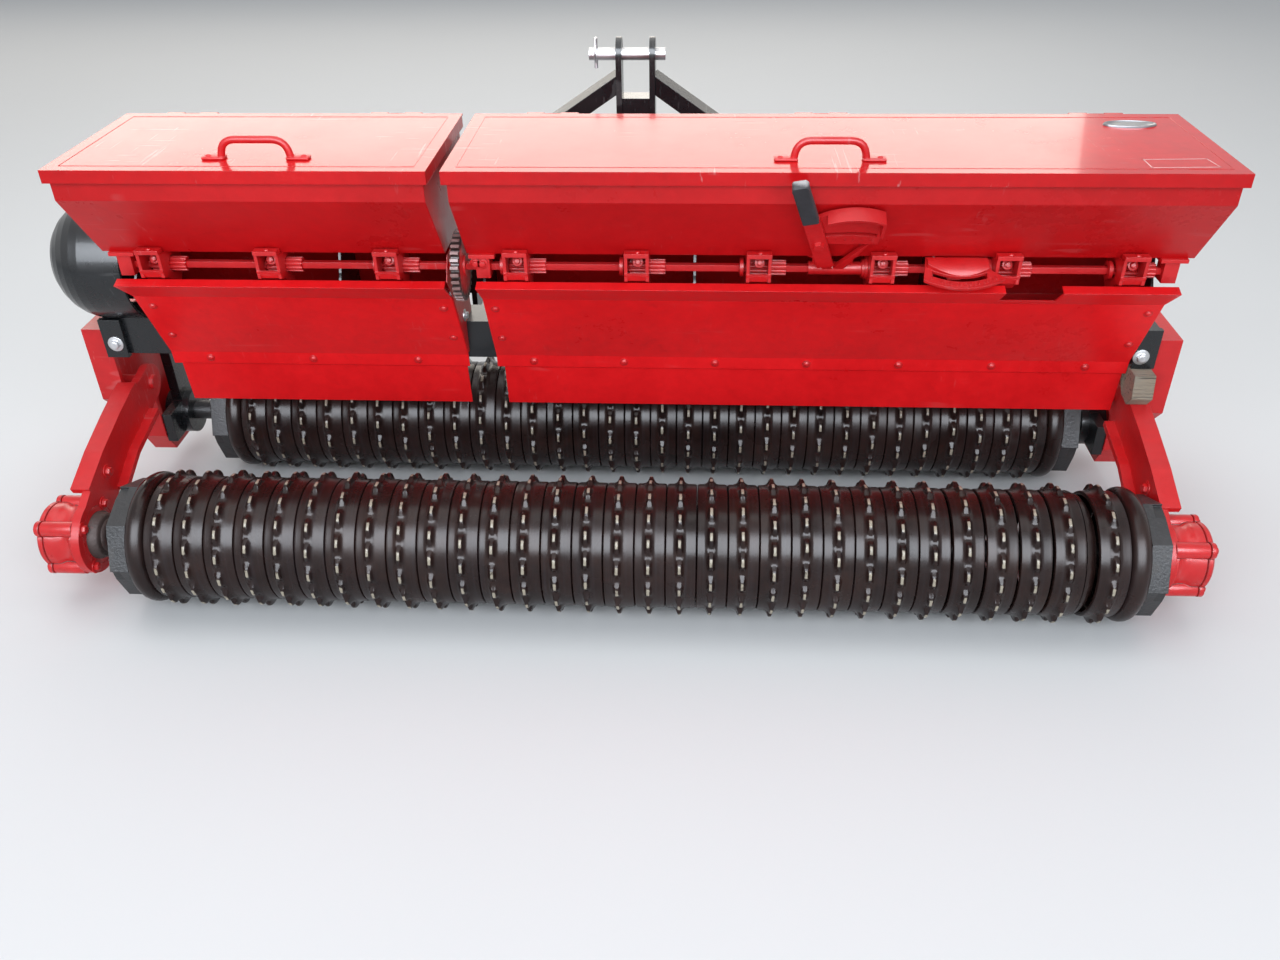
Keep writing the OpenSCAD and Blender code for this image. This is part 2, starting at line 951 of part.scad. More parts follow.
module rear_bearings() {
  color(red) {
    both_sides()
      difference() {
        union() {
          rod_x(arm_x, arm_x + 20, rear_y, axle_z, 60);
          along_x(arm_x + 16, cap_in)
            house_outline();
        }
        rod_x(arm_x - 1, cap_in + 1, rear_y, axle_z, axle_r + run_gap);
      }
    at_frame()
      difference() {
        rod_x(-arm_x, seal_l - arm_x, rear_y, axle_z, 46);
        rod_x(-arm_x - 1, seal_l - arm_x + 1, rear_y, axle_z, axle_r + run_gap);
      }
  }
}

module bearing_caps() {
  color(red)
    both_sides()
      difference() {
        union() {
          along_x(cap_in, half_w - 4)
            house_outline();
          rod_x(half_w - 5, half_w, rear_y, axle_z, 40);
        }
        rod_x(cap_in - 1, half_w - 8, rear_y, axle_z, axle_r + 4);
      }
}

module front_bearings() {
  x1 = beam_half;
  color(black)
    both_sides()
      difference() {
        union() {
          rod_x(x1 - 38, x1 + 16, front_y, axle_z, 52);
          block([x1 - 22, front_y - 96, axle_z - 30], [x1, front_y + 118, axle_z + 40]);
          block([x1 - 22, front_y - 30, axle_z], [x1, front_y + 30, 300]);
        }
        rod_x(x1 - 39, x1 + 17, front_y, axle_z, axle_r + run_gap);
      }
}

module wood_block() {
  color("#8a7a60")
    at_frame()
      along_x(beam_half - 42, beam_half - 1)
        polygon([[-16, 341], [4, 318.9], [38, 325.4], [58, 347], [58, beam_z - 4],
          [-6, beam_z - 4]]);
}

// Plates that stand on the beam, carry the boxes and hold the shields.
module box_stands() {
  face = [for (i = [2, 3]) face_point(shield_line, i, shield_t / 2 + seat)];
  slope = (face[1][0] - face[0][0]) / (face[0][1] - face[1][1]);
  foot = beam_z + 5;
  color(black)
    at_mid()
      for (x = stand_x)
        along_x(x - 2.5, x + 2.5)
          polygon([[60, box_bot], [2, box_bot], [-22, 600], face[0],
            [face[0][0] + slope * (face[0][1] - foot), foot], [beam_y, foot],
            [beam_y, beam_z + beam_s], [100, beam_z + beam_s]]);
}

// Hitch

module mast_plates() {
  color(black)
    at_mid()
      for (s = [-1, 1])
        difference() {
          along_x(s < 0 ? -mast_gap / 2 - mast_t : mast_gap / 2,
            s < 0 ? -mast_gap / 2 : mast_gap / 2 + mast_t) {
            polygon([[top_pin_y - 34, top_pin_z], [top_pin_y - 40, 600], [bar_y, bar_z + bar_s],
              [bar_y + bar_s, bar_z + bar_s], [top_pin_y + 34, top_pin_z]]);
            translate([top_pin_y, top_pin_z])
              circle(r = 34);
          }
          rod_x(-100, 100, top_pin_y, top_pin_z, top_pin_r + 0.2);
        }
}

module mast_block() {
  color(black)
    at_mid()
      block([-mast_gap / 2, top_pin_y - 32, top_pin_z - 117],
        [mast_gap / 2, top_pin_y + 20, top_pin_z - 83]);
}

module mast_braces() {
  x0 = mast_gap / 2 + mast_t;
  color(black)
    at_mid()
      for (s = [-1, 1])
        difference() {
          square_bar([s * (x0 - 10), top_pin_y - 10, top_pin_z - 47],
            [s * 714, beam_y + beam_s - 14, beam_z + beam_s - 10], 34);
          block([-x0, top_pin_y - 60, top_pin_z - 117], [x0, top_pin_y + 60, top_pin_z + 3]);
          block([-beam_half, beam_y - 60, beam_z - 40],
            [beam_half, beam_y + beam_s + 100, beam_z + beam_s]);
        }
}

module top_pin() {
  color(zinc)
    at_mid()
      difference() {
        rod_x(-98, 62, top_pin_y, top_pin_z, top_pin_r);
        translate([-84, top_pin_y, top_pin_z - 20])
          cylinder(r = 4.2, h = 40);
      }
}

module linch_pin() {
  color(zinc)
    at_mid()
      translate([-84, top_pin_y, top_pin_z]) {
        translate([0, 0, -28])
          cylinder(r = 4, h = 60);
        translate([0, 0, 8])
          rotate([0, 90, 0])
            rotate_extrude($fn = 48)
              translate([24, 0])
                circle(r = 2, $fn = 16);
      }
}

module hitch_bar() {
  color(black)
    at_mid()
      along_x(-bar_half, bar_half)
        difference() {
          translate([bar_y, bar_z])
            square(bar_s);
          translate([bar_y + 6, bar_z + 6])
            square(bar_s - 12);
        }
}

// Square tubes that join the hitch bar to the main beam.
module hitch_arms() {
  color(black)
    at_mid()
      for (s = [-1, 1])
        translate([s * 290 - 30, beam_y + beam_s, beam_z])
          difference() {
            cube([60, bar_y - beam_y - beam_s, 60]);
            translate([5, -1, 5])
              cube([50, bar_y - beam_y - beam_s + 2, 50]);
          }
}

module lower_lugs() {
  color(black)
    at_mid()
      for (s = [-1, 1])
        mirror([s < 0 ? 1 : 0, 0, 0])
          for (x = lug_x)
            difference() {
              along_x(x - lug_t, x) {
                polygon([[low_pin_y - lug_r, low_pin_z], [bar_y, bar_z - 40], [bar_y, bar_z],
                  [bar_y + bar_s, bar_z], [bar_y + bar_s, bar_z + bar_s - 10],
                  [low_pin_y + 10, bar_z + 40], [low_pin_y + lug_r, low_pin_z]]);
                translate([low_pin_y, low_pin_z])
                  circle(r = lug_r);
              }
              rod_x(x - lug_t - 5, x + 5, low_pin_y, low_pin_z, low_pin_r + 0.2);
            }
}

// Lower link pins, free towards the outside.
module lower_pins() {
  color(zinc)
    at_mid()
      for (s = [-1, 1])
        mirror([s < 0 ? 1 : 0, 0, 0])
          lower_pin();
}

// Pin through a lug; a neck and a smaller tip leave the ball's seat as a stretch of its own.
module lower_pin() {
  x0 = lug_x[0];
  x1 = x0 + pin_neck;
  x2 = x1 + ball_seat;
  difference() {
    union() {
      rod_x(lug_x[1] - lug_t - 12, x0, low_pin_y, low_pin_z, low_pin_r);
      rod_x(x0 - 1, x1 + 1, low_pin_y, low_pin_z, low_pin_r - 1);
      rod_x(x1, x2, low_pin_y, low_pin_z, low_pin_r);
      rod_x(x2 - 1, x0 + low_pin_free, low_pin_y, low_pin_z, low_pin_r - 1.5);
    }
    translate([x0 + low_pin_free - 8, low_pin_y, low_pin_z - 20])
      cylinder(r = 4.5, h = 40);
  }
}

main_beam();
side_frames();
beam_brackets();
rear_arms();
rear_bearings();
bearing_caps();
front_bearings();
wood_block();
seed_box_left();
seed_box_right();
lid_hinges();
box_stands();
feed_cups();
shaft_bearings();
shield_left();
shield_right();
shield_flaps();
feed_panels();
drive_guard();
rate_lever();
lever_grip();
rate_quadrant();
rate_dial();
mast_plates();
mast_block();
mast_braces();
top_pin();
linch_pin();
hitch_bar();
hitch_arms();
lower_lugs();
lower_pins();
rear_rings();
rear_axle();
front_rings();
front_axle();
lid_left();
lid_right();
handle_left();
handle_right();
feed_shaft();
fluted_rollers();
feed_gear();
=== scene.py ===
import json
import math
import random

import bmesh
import bpy
from bpy.props import FloatProperty, FloatVectorProperty, IntProperty, PointerProperty
from mathutils import Matrix, Vector


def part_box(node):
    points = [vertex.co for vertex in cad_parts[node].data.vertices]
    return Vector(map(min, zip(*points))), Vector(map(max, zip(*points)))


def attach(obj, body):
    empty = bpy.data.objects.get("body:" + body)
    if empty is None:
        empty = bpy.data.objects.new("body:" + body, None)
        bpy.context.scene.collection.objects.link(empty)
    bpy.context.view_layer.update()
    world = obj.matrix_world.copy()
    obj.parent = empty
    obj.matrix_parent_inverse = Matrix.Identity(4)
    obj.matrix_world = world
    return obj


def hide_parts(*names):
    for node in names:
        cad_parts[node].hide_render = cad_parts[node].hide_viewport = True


bl_info = {
    "name": "Seed drill looks",
    "version": (1, 0, 0),
    "blender": (4, 5, 0),
    "location": "View3D > Sidebar > Seed drill",
    "description": "Finishes and small parts of a mounted seed drill with two toothed rollers",
    "category": "Object",
}

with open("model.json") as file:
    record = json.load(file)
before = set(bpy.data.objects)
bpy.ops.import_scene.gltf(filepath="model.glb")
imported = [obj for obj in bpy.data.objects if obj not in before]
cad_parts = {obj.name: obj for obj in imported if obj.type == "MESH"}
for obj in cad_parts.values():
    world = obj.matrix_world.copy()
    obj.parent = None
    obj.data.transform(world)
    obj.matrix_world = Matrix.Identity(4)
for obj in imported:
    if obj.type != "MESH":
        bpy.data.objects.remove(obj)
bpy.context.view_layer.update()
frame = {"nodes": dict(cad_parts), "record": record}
JOINTS = {j["name"]: Vector(j["pos_m"]) for j in frame["record"]["behaviour"]["joints"]}
REAR_AXIS = JOINTS["rear_roller_spin"]
FRONT_AXIS = JOINTS["front_roller_spin"]
FEED_AXIS = JOINTS["feed_shaft_spin"]

# The machine's own middle: between the mast plates, and between the two axles.
MAST_LOW, MAST_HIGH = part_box("mast_plates")
MID_X = (MAST_LOW[0] + MAST_HIGH[0]) / 2
MID_Y = (REAR_AXIS.y + FRONT_AXIS.y) / 2
LID_TOP = 847
# The side frames' middle, measured from the hitch: it stands to the left.
FRAME_OFF = -20
X_AXIS, Y_AXIS, Z_AXIS = Vector((1, 0, 0)), Vector((0, 1, 0)), Vector((0, 0, 1))
BACK = -Y_AXIS


def at(x, y, z):
    """A place in the machine's own millimetres as a point of the frame."""
    return Vector((x / 1000 + MID_X, y / 1000 + MID_Y, z / 1000))


class DrillFinish(bpy.types.PropertyGroup):
    """Colours of the finishes."""

    sheet_red: FloatVectorProperty(
        name="Sheet red", description="Gloss paint of the boxes, lids and shields",
        default=(0.70, 0.008, 0.011), subtype="COLOR", min=0, max=1)
    cast_red: FloatVectorProperty(
        name="Casting red", description="Paint of the castings and the feed parts",
        default=(0.64, 0.010, 0.013), subtype="COLOR", min=0, max=1)
    gloss_black: FloatVectorProperty(
        name="Gloss black", description="Paint of the beam, the drum and the hitch",
        default=(0.011, 0.012, 0.014), subtype="COLOR", min=0, max=1)
    ring_brown: FloatVectorProperty(
        name="Ring iron", description="Oily iron of the toothed rings",
        default=(0.018, 0.009, 0.008), subtype="COLOR", min=0, max=1)
    tip_steel: FloatVectorProperty(
        name="Worn tips", description="Bare metal on the tips of the teeth",
        default=(0.37, 0.33, 0.26), subtype="COLOR", min=0, max=1)
    zinc: FloatVectorProperty(
        name="Zinc", description="Plating of bolts and pins",
        default=(0.52, 0.52, 0.53), subtype="COLOR", min=0, max=1)
    floor: FloatVectorProperty(
        name="Floor", description="Pale floor under the machine",
        default=(0.72, 0.73, 0.74), subtype="COLOR", min=0, max=1)


class DrillRings(bpy.types.PropertyGroup):
    """Sizes of the toothed rings."""

    tip: FloatProperty(name="Tip radius", description="Radius over the tips of the teeth",
                       default=FRONT_AXIS.z, unit="LENGTH")
    notch: FloatProperty(name="Notch radius", description="Radius at the bottom of the notches",
                         default=0.1235, unit="LENGTH")
    band: FloatProperty(name="Band radius", description="Radius of the smooth bands",
                        default=0.1205, unit="LENGTH")
    pitch: FloatProperty(name="Ring pitch", description="Width of one ring", default=0.058,
                         unit="LENGTH")
    gap: FloatProperty(name="Gap", description="Gap before the last ring of the rear roller",
                       default=0.022, unit="LENGTH")
    loose: FloatProperty(name="Play", description="Play between the last rings of the rear roller",
                         default=0.0029, unit="LENGTH")
    loose_count: IntProperty(name="Loose rings", description="Rings with play before them",
                             default=4, min=0)
    count: IntProperty(name="Rings", description="Rings on each roller", default=31, min=2)
    teeth: IntProperty(name="Teeth", description="Teeth on each ring", default=17, min=6)
    steps: IntProperty(name="Steps", description="Steps round a ring for each tooth", default=8)


# Mesh helpers

def turned_to(axis, turn=0.0):
    """Turns +Z to an axis, after a turn about itself."""
    return Vector(axis).to_track_quat("Z", "Y").to_matrix().to_4x4() @ Matrix.Rotation(turn, 4, "Z")


def seat_at(place, axis=Z_AXIS, turn=0.0):
    return Matrix.Translation(place) @ turned_to(axis, turn)


def disc(bm, place, radius, height, sides=24, chamfer=0.0):
    """A disc that stands on a place, its top edge eased where a chamfer is given."""
    made = bmesh.ops.create_cone(
        bm, cap_ends=True, cap_tris=False, segments=sides, radius1=radius,
        radius2=radius, depth=height,
        matrix=place @ Matrix.Translation((0, 0, height / 2)))
    if chamfer:
        axis = (place.to_3x3() @ Z_AXIS).normalized()
        base = place.translation
        high = {v for v in made["verts"] if (v.co - base).dot(axis) > height * 0.75}
        rim = [e for e in bm.edges if e.verts[0] in high and e.verts[1] in high]
        bmesh.ops.bevel(bm, geom=rim, offset=chamfer, offset_type="OFFSET", segments=2,
                        profile=0.5, affect="EDGES", clamp_overlap=True, material=-1)
    return made["verts"]


def slab(bm, place, size, bevel=0.0):
    """A block with eased edges, centred on a place."""
    made = bmesh.ops.create_cube(bm, size=1.0, matrix=place @ Matrix.Diagonal((*size, 1)))
    if bevel:
        own = set(made["verts"])
        edges = [e for e in bm.edges if e.verts[0] in own and e.verts[1] in own]
        bmesh.ops.bevel(bm, geom=edges, offset=bevel, offset_type="OFFSET", segments=2,
                        profile=0.5, affect="EDGES", clamp_overlap=True, material=-1)
    return made["verts"]


def turned(bm, outline, place, steps=32):
    """A turned form: the outline's [radius, height] points spun about the place's Z."""
    verts = [bm.verts.new((r, 0, h)) for r, h in outline]
    edges = [bm.edges.new(pair) for pair in zip(verts, verts[1:])]
    made = bmesh.ops.spin(bm, geom=verts + edges, cent=(0, 0, 0), axis=(0, 0, 1),
                          angle=math.tau, steps=steps, use_merge=True, dvec=(0, 0, 0),
                          use_duplicate=False)
    new = {v for v in made["geom_last"] if isinstance(v, bmesh.types.BMVert)} | set(verts)
    todo, seen = list(new), set(new)
    while todo:
        v = todo.pop()
        for e in v.link_edges:
            o = e.other_vert(v)
            if o not in seen:
                seen.add(o)
                todo.append(o)
    bmesh.ops.remove_doubles(bm, verts=list(seen), dist=1e-6)
    live = [v for v in seen if v.is_valid]
    bmesh.ops.transform(bm, matrix=place, verts=live)
    return live


def hex_bolt(bm, place, across, washer=True):
    """Hex head with a chamfered top on a washer, seated on a place."""
    lift = 0.0
    if washer:
        disc(bm, place, across * 0.95, across * 0.12, 24, chamfer=across * 0.03)
        lift = across * 0.12
    up = place @ Matrix.Translation((0, 0, lift))
    disc(bm, up, across * 0.577, across * 0.45, 6, chamfer=across * 0.06)
    disc(bm, up @ Matrix.Translation((0, 0, across * 0.45)), across * 0.40, across * 0.03, 20)


def dome_head(bm, place, radius, height):
    """Round rivet or screw head."""
    outline = [(0.00001, height)]
    outline += [(radius * math.sin(a * math.pi / 10), height * math.cos(a * math.pi / 10))
                for a in range(1, 6)]
    turned(bm, outline, place, 16)


def rod(bm, a, b, radius, sides):
    """Round rod between two places."""
    disc(bm, seat_at(a, b - a), radius, (b - a).length, sides)


def bent_rod(bm, points, radius, sides):
    """Round rod along a chain of places, with each ring of it turned to the path."""
    ring_before = None
    for i, p in enumerate(points):
        ahead = points[min(i + 1, len(points) - 1)] - points[max(i - 1, 0)]
        made = bmesh.ops.create_circle(bm, cap_ends=i in (0, len(points) - 1), segments=sides,
                                       radius=radius, matrix=seat_at(p, ahead))
        own = set(made["verts"])
        ring = [e for e in bm.edges if e.verts[0] in own and e.verts[1] in own]
        if ring_before:
            bmesh.ops.bridge_loops(bm, edges=ring_before + ring)
        ring_before = ring


def corner_path(corners, bend, steps=5):
    """Points along straight runs joined by round bends."""
    points = [corners[0]]
    for before, here, after in zip(corners, corners[1:], corners[2:]):
        a = here + (before - here).normalized() * bend
        b = here + (after - here).normalized() * bend
        for k in range(steps + 1):
            t = k / steps
            points.append(a.lerp(here, t).lerp(here.lerp(b, t), t))
    points.append(corners[-1])
    return points


def piece(bm, name, material, body, smooth=35):
    """Turns a finished mesh into a piece that rides on a body."""
    bmesh.ops.recalc_face_normals(bm, faces=bm.faces)
    mesh = bpy.data.meshes.new(name)
    bm.to_mesh(mesh)
    bm.free()
    for face in mesh.polygons:
        face.use_smooth = True
    mesh.set_sharp_from_angle(angle=math.radians(smooth))
    obj = bpy.data.objects.new(name, mesh)
    bpy.context.collection.objects.link(obj)
    mesh.materials.append(material)
    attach(obj, body)
    return obj


# Material helpers

def put(tree, kind, inputs=None, **settings):
    """A node with its settings and the values of its sockets."""
    made = tree.nodes.new(kind)
    for key, value in settings.items():
        setattr(made, key, value)
    for key, value in (inputs or {}).items():
        if isinstance(value, bpy.types.NodeSocket):
            tree.links.new(value, made.inputs[key])
        else:
            made.inputs[key].default_value = value
    return made


def group_shell(name, ins, outs):
    """An empty shader node group with named sockets."""
    tree = bpy.data.node_groups.new(name, "ShaderNodeTree")
    for socket, value in ins:
        kind = "NodeSocketColor" if isinstance(value, tuple) else "NodeSocketFloat"
        made = tree.interface.new_socket(name=socket, in_out="INPUT", socket_type=kind)
        made.default_value = value
    for socket, kind in outs:
        tree.interface.new_socket(name=socket, in_out="OUTPUT", socket_type=kind)
    return tree, put(tree, "NodeGroupInput"), put(tree, "NodeGroupOutput")


def maths(tree, operation, a, b):
    return put(tree, "ShaderNodeMath", {0: a, 1: b}, operation=operation).outputs[0]


def span(tree, value, low, high, to_low=0.0, to_high=1.0):
    """Maps a value from one span to another and holds it there."""
    made = put(tree, "ShaderNodeMapRange", {"Value": value, "From Min": low, "From Max": high,
                                            "To Min": to_low, "To Max": to_high}, clamp=True)
    return made.outputs["Result"]


def blend(tree, factor, a, b):
    made = put(tree, "ShaderNodeMix", data_type="RGBA")
    for socket, value in ((0, factor), (6, a), (7, b)):
        if isinstance(value, bpy.types.NodeSocket):
            tree.links.new(value, made.inputs[socket])
        else:
            made.inputs[socket].default_value = value if socket == 0 else (*value[:3], 1)
    return made.outputs[2]


def noise(tree, vector, scale, detail=4.0, rough=0.55, stretch=None):
    if stretch:
        vector = put(tree, "ShaderNodeMapping", {"Vector": vector, "Scale": stretch}).outputs[0]
    made = put(tree, "ShaderNodeTexNoise", {"Vector": vector, "Scale": scale, "Detail": detail,
                                            "Roughness": rough})
    return made.outputs["Fac"]


def build_edge_wear():
    """Mask that shows broken wear along the sharp edges of a piece."""
    tree, given, result = group_shell(
        "Edge wear", [("Radius", 0.002), ("Amount", 0.5), ("Grain", 60.0)],
        [("Mask", "NodeSocketFloat")])
    spot = put(tree, "ShaderNodeTexCoord").outputs["Object"]
    eased = put(tree, "ShaderNodeBevel", {"Radius": given.outputs["Radius"]}, samples=4)
    plain = put(tree, "ShaderNodeNewGeometry").outputs["Normal"]
    dot = put(tree, "ShaderNodeVectorMath", {0: eased.outputs[0], 1: plain}, operation="DOT_PRODUCT")
    edge = span(tree, dot.outputs["Value"], 0.995, 0.80)
    grain = put(tree, "ShaderNodeTexNoise", {"Vector": spot, "Scale": given.outputs["Grain"],
                                             "Detail": 5.0, "Roughness": 0.65}).outputs["Fac"]
    wide = noise(tree, spot, 7.0, 3.0)
    both = maths(tree, "ADD", maths(tree, "MULTIPLY", grain, 0.65), maths(tree, "MULTIPLY", wide, 0.5))
    level = maths(tree, "SUBTRACT", 1.0, given.outputs["Amount"])
    kept = maths(tree, "SUBTRACT", maths(tree, "ADD", both, maths(tree, "MULTIPLY", edge, 0.35)),
                 maths(tree, "ADD", level, 0.42))
    mask = maths(tree, "MULTIPLY", span(tree, kept, 0.0, 0.05), span(tree, edge, 0.05, 0.3))
    tree.links.new(mask, result.inputs["Mask"])
    return tree


def build_soft_edge():
    """Normal that rounds the sharp folds and edges of a piece."""
    tree, given, result = group_shell("Soft edge", [("Radius", 0.002)],
                                      [("Normal", "NodeSocketVector")])
    eased = put(tree, "ShaderNodeBevel", {"Radius": given.outputs["Radius"]}, samples=4)
    tree.links.new(eased.outputs[0], result.inputs["Normal"])
    return tree


def build_clouding():
    """Soft uneven patches from 0 to 1, large and small ones mixed."""
    tree, given, result = group_shell("Clouding", [("Scale", 5.0), ("Fine", 40.0)],
                                      [("Value", "NodeSocketFloat")])
    spot = put(tree, "ShaderNodeTexCoord").outputs["Object"]
    wide = put(tree, "ShaderNodeTexNoise", {"Vector": spot, "Scale": given.outputs["Scale"],
                                            "Detail": 4.0, "Roughness": 0.6}).outputs["Fac"]
    fine = put(tree, "ShaderNodeTexNoise", {"Vector": spot, "Scale": given.outputs["Fine"],
                                            "Detail": 3.0, "Roughness": 0.6}).outputs["Fac"]
    both = maths(tree, "ADD", maths(tree, "MULTIPLY", wide, 0.7), maths(tree, "MULTIPLY", fine, 0.3))
    tree.links.new(span(tree, both, 0.34, 0.66), result.inputs["Value"])
    return tree


def build_scratches():
    """Fine straight scratches in two directions."""
    tree, given, result = group_shell("Scratches", [("Amount", 0.5)],
                                      [("Mask", "NodeSocketFloat")])
    spot = put(tree, "ShaderNodeTexCoord").outputs["Object"]
    total = None
    for turn, stretch in ((0.35, (4, 150, 30)), (-0.8, (150, 5, 30)), (1.2, (6, 90, 20))):
        way = put(tree, "ShaderNodeMapping", {"Vector": spot, "Rotation": (0, 0, turn),
                                              "Scale": stretch}).outputs[0]
        line = put(tree, "ShaderNodeTexNoise", {"Vector": way, "Scale": 1.0, "Detail": 2.0,
                                                "Roughness": 0.5}).outputs["Fac"]
        line = span(tree, line, 0.665, 0.70)
        total = line if total is None else maths(tree, "MAXIMUM", total, line)
    broken = span(tree, noise(tree, spot, 5.0, 4.0), 0.52, 0.60)
    mask = maths(tree, "MULTIPLY", maths(tree, "MULTIPLY", total, broken), given.outputs["Amount"])
    tree.links.new(mask, result.inputs["Mask"])
    return tree


def build_settled_dust():
    """Dust that lies on faces that look up."""
    tree, given, result = group_shell("Settled dust", [("Amount", 0.3)],
                                      [("Mask", "NodeSocketFloat")])
    where = put(tree, "ShaderNodeTexCoord")
    up = put(tree, "ShaderNodeSeparateXYZ", {0: where.outputs["Normal"]}).outputs["Z"]
    cover = span(tree, up, 0.3, 0.95)
    patches = span(tree, noise(tree, where.outputs["Object"], 9.0, 6.0, 0.65), 0.38, 0.68)
    mask = maths(tree, "MULTIPLY", maths(tree, "MULTIPLY", cover, patches), given.outputs["Amount"])
    tree.links.new(mask, result.inputs["Mask"])
    return tree


GROUPS = {}
FINISH = {}


def effect(tree, name, **values):
    """Places a shared effect and returns its output."""
    made = put(tree, "ShaderNodeGroup", node_tree=GROUPS[name])
    for key, value in values.items():
        made.inputs[key.replace("_", " ").capitalize()].default_value = value
    return made.outputs[0]


def finish_shell(name):
    """A material with a Principled shader, and Object coordinates."""
    material = bpy.data.materials.new(name)
    material.use_nodes = True
    tree = material.node_tree
    tree.nodes.clear()
    shader = put(tree, "ShaderNodeBsdfPrincipled")
    put(tree, "ShaderNodeOutputMaterial", {"Surface": shader.outputs[0]})
    spot = put(tree, "ShaderNodeTexCoord").outputs["Object"]
    FINISH[name] = material
    return tree, shader, spot


def bumped(tree, shader, height, distance, edge=None):
    """Feeds the shader's normal from a height, over eased edges where a radius is given."""
    made = put(tree, "ShaderNodeBump", {"Height": height, "Distance": distance, "Strength": 1.0})
    if edge:
        tree.links.new(effect(tree, "Soft edge", radius=edge), made.inputs["Normal"])
    tree.links.new(made.outputs[0], shader.inputs["Normal"])


def wire(tree, shader, **sockets):
    for key, value in sockets.items():
        tree.links.new(value, shader.inputs[key.replace("_", " ").title()])


def paint(name, colour, gloss, coat, chips, cast=0.0, dust=0.15, scratch=0.3, edge=0.0015, wave=0.0,
          shine_level=0.2):
    """Paint on sheet or castings, with chips along the edges, dust and scratches."""
    tree, shader, spot = finish_shell(name)
    cloud = effect(tree, "Clouding", scale=3.0, fine=45.0)
    deep = [c * 0.80 for c in colour]
    base = blend(tree, cloud, deep, [min(1, c * 1.06) for c in colour])
    lines = effect(tree, "Scratches", amount=scratch)
    base = blend(tree, lines, base, [min(1, c * 0.6 + 0.22) for c in colour])
    film = effect(tree, "Settled dust", amount=dust)
    base = blend(tree, film, base, [c * 0.55 + 0.20 for c in colour])
    grime = span(tree, noise(tree, spot, 13.0, 6.0, 0.7), 0.60, 0.78, 0.0, 0.35)
    base = blend(tree, grime, base, [c * 0.35 + 0.004 for c in colour])
    worn = effect(tree, "Edge wear", radius=edge * 1.3, amount=chips, grain=70.0)
    base = blend(tree, worn, base, (0.045, 0.040, 0.040))
    rough = maths(tree, "ADD", span(tree, cloud, 0, 1, gloss * 0.8, gloss * 1.25),
                  maths(tree, "ADD", maths(tree, "MULTIPLY", film, 0.5),
                        maths(tree, "MULTIPLY", worn, 0.25)))
    shader.inputs["Coat Roughness"].default_value = 0.05
    shader.inputs["Specular IOR Level"].default_value = shine_level
    shine = maths(tree, "MULTIPLY", maths(tree, "SUBTRACT", 1.0, maths(tree, "MAXIMUM", worn, film)),
                  coat)
    wire(tree, shader, Base_Color=base, Roughness=rough, Coat_Weight=shine)
    grain = noise(tree, spot, 160.0 if cast else 420.0, 3.0, 0.6)
    height = maths(tree, "MULTIPLY", grain, 0.00035 * cast + 0.00001)
    if wave:
        height = maths(tree, "ADD", height, maths(tree, "MULTIPLY", noise(tree, spot, 3.2, 1.0), wave))
    height = maths(tree, "SUBTRACT", height, maths(tree, "MULTIPLY", worn, 0.0002))
    bumped(tree, shader, height, 1.0, edge=edge)


def axis_radius(tree, spot, axis):
    """Distance from a roller's axis, on its own coordinates."""
    shifted = put(tree, "ShaderNodeVectorMath", {0: spot, 1: (0, axis.y, axis.z)},
                  operation="SUBTRACT").outputs[0]
    flat = put(tree, "ShaderNodeVectorMath", {0: shifted, 1: (0, 1, 1)},
               operation="MULTIPLY").outputs[0]
    return put(tree, "ShaderNodeVectorMath", {0: flat}, operation="LENGTH").outputs["Value"]


def ring_iron(name, axis, rings, colours):
    """Oily brown-black iron, bare and bright on the tips of the teeth."""
    tree, shader, spot = finish_shell(name)
    cloud = effect(tree, "Clouding", scale=6.0, fine=38.0)
    rust = span(tree, noise(tree, spot, 11.0, 5.0, 0.7), 0.50, 0.72, 0.0, 0.75)
    base = blend(tree, cloud, [c * 0.6 for c in colours.ring_brown],
                 [c * 1.5 for c in colours.ring_brown])
    base = blend(tree, rust, base, (0.034, 0.015, 0.011))
    # Bluish grey streaks round the rings: partly rubbed metal, partly a painted bluish sheen.
    rubbed_and_sheen = noise(tree, spot, 3.0, 3.0, 0.6, stretch=(60, 1, 1))
    base = blend(tree, span(tree, rubbed_and_sheen, 0.5, 0.75, 0.0, 0.14), base, (0.060, 0.062, 0.075))
    away = axis_radius(tree, spot, axis)
    grain = noise(tree, spot, 90.0, 4.0, 0.7)
    reach = maths(tree, "ADD", away, maths(tree, "MULTIPLY", maths(tree, "SUBTRACT", grain, 0.5), 0.004))
    bare = span(tree, reach, rings.tip - 0.0012, rings.tip - 0.0002)
    base = blend(tree, bare, base, colours.tip_steel)
    oil = span(tree, noise(tree, spot, 8.0, 4.0, 0.6), 0.35, 0.65, 0.20, 0.34)
    rough = maths(tree, "ADD", maths(tree, "MULTIPLY", oil, maths(tree, "SUBTRACT", 1.0, bare)),
                  maths(tree, "MULTIPLY", bare, 0.30))
    wire(tree, shader, Base_Color=base, Roughness=rough)
    shader.inputs["Specular IOR Level"].default_value = 0.22
    height = maths(tree, "MULTIPLY", noise(tree, spot, 130.0, 3.0, 0.6), 0.00008)
    bumped(tree, shader, height, 1.0, edge=0.001)


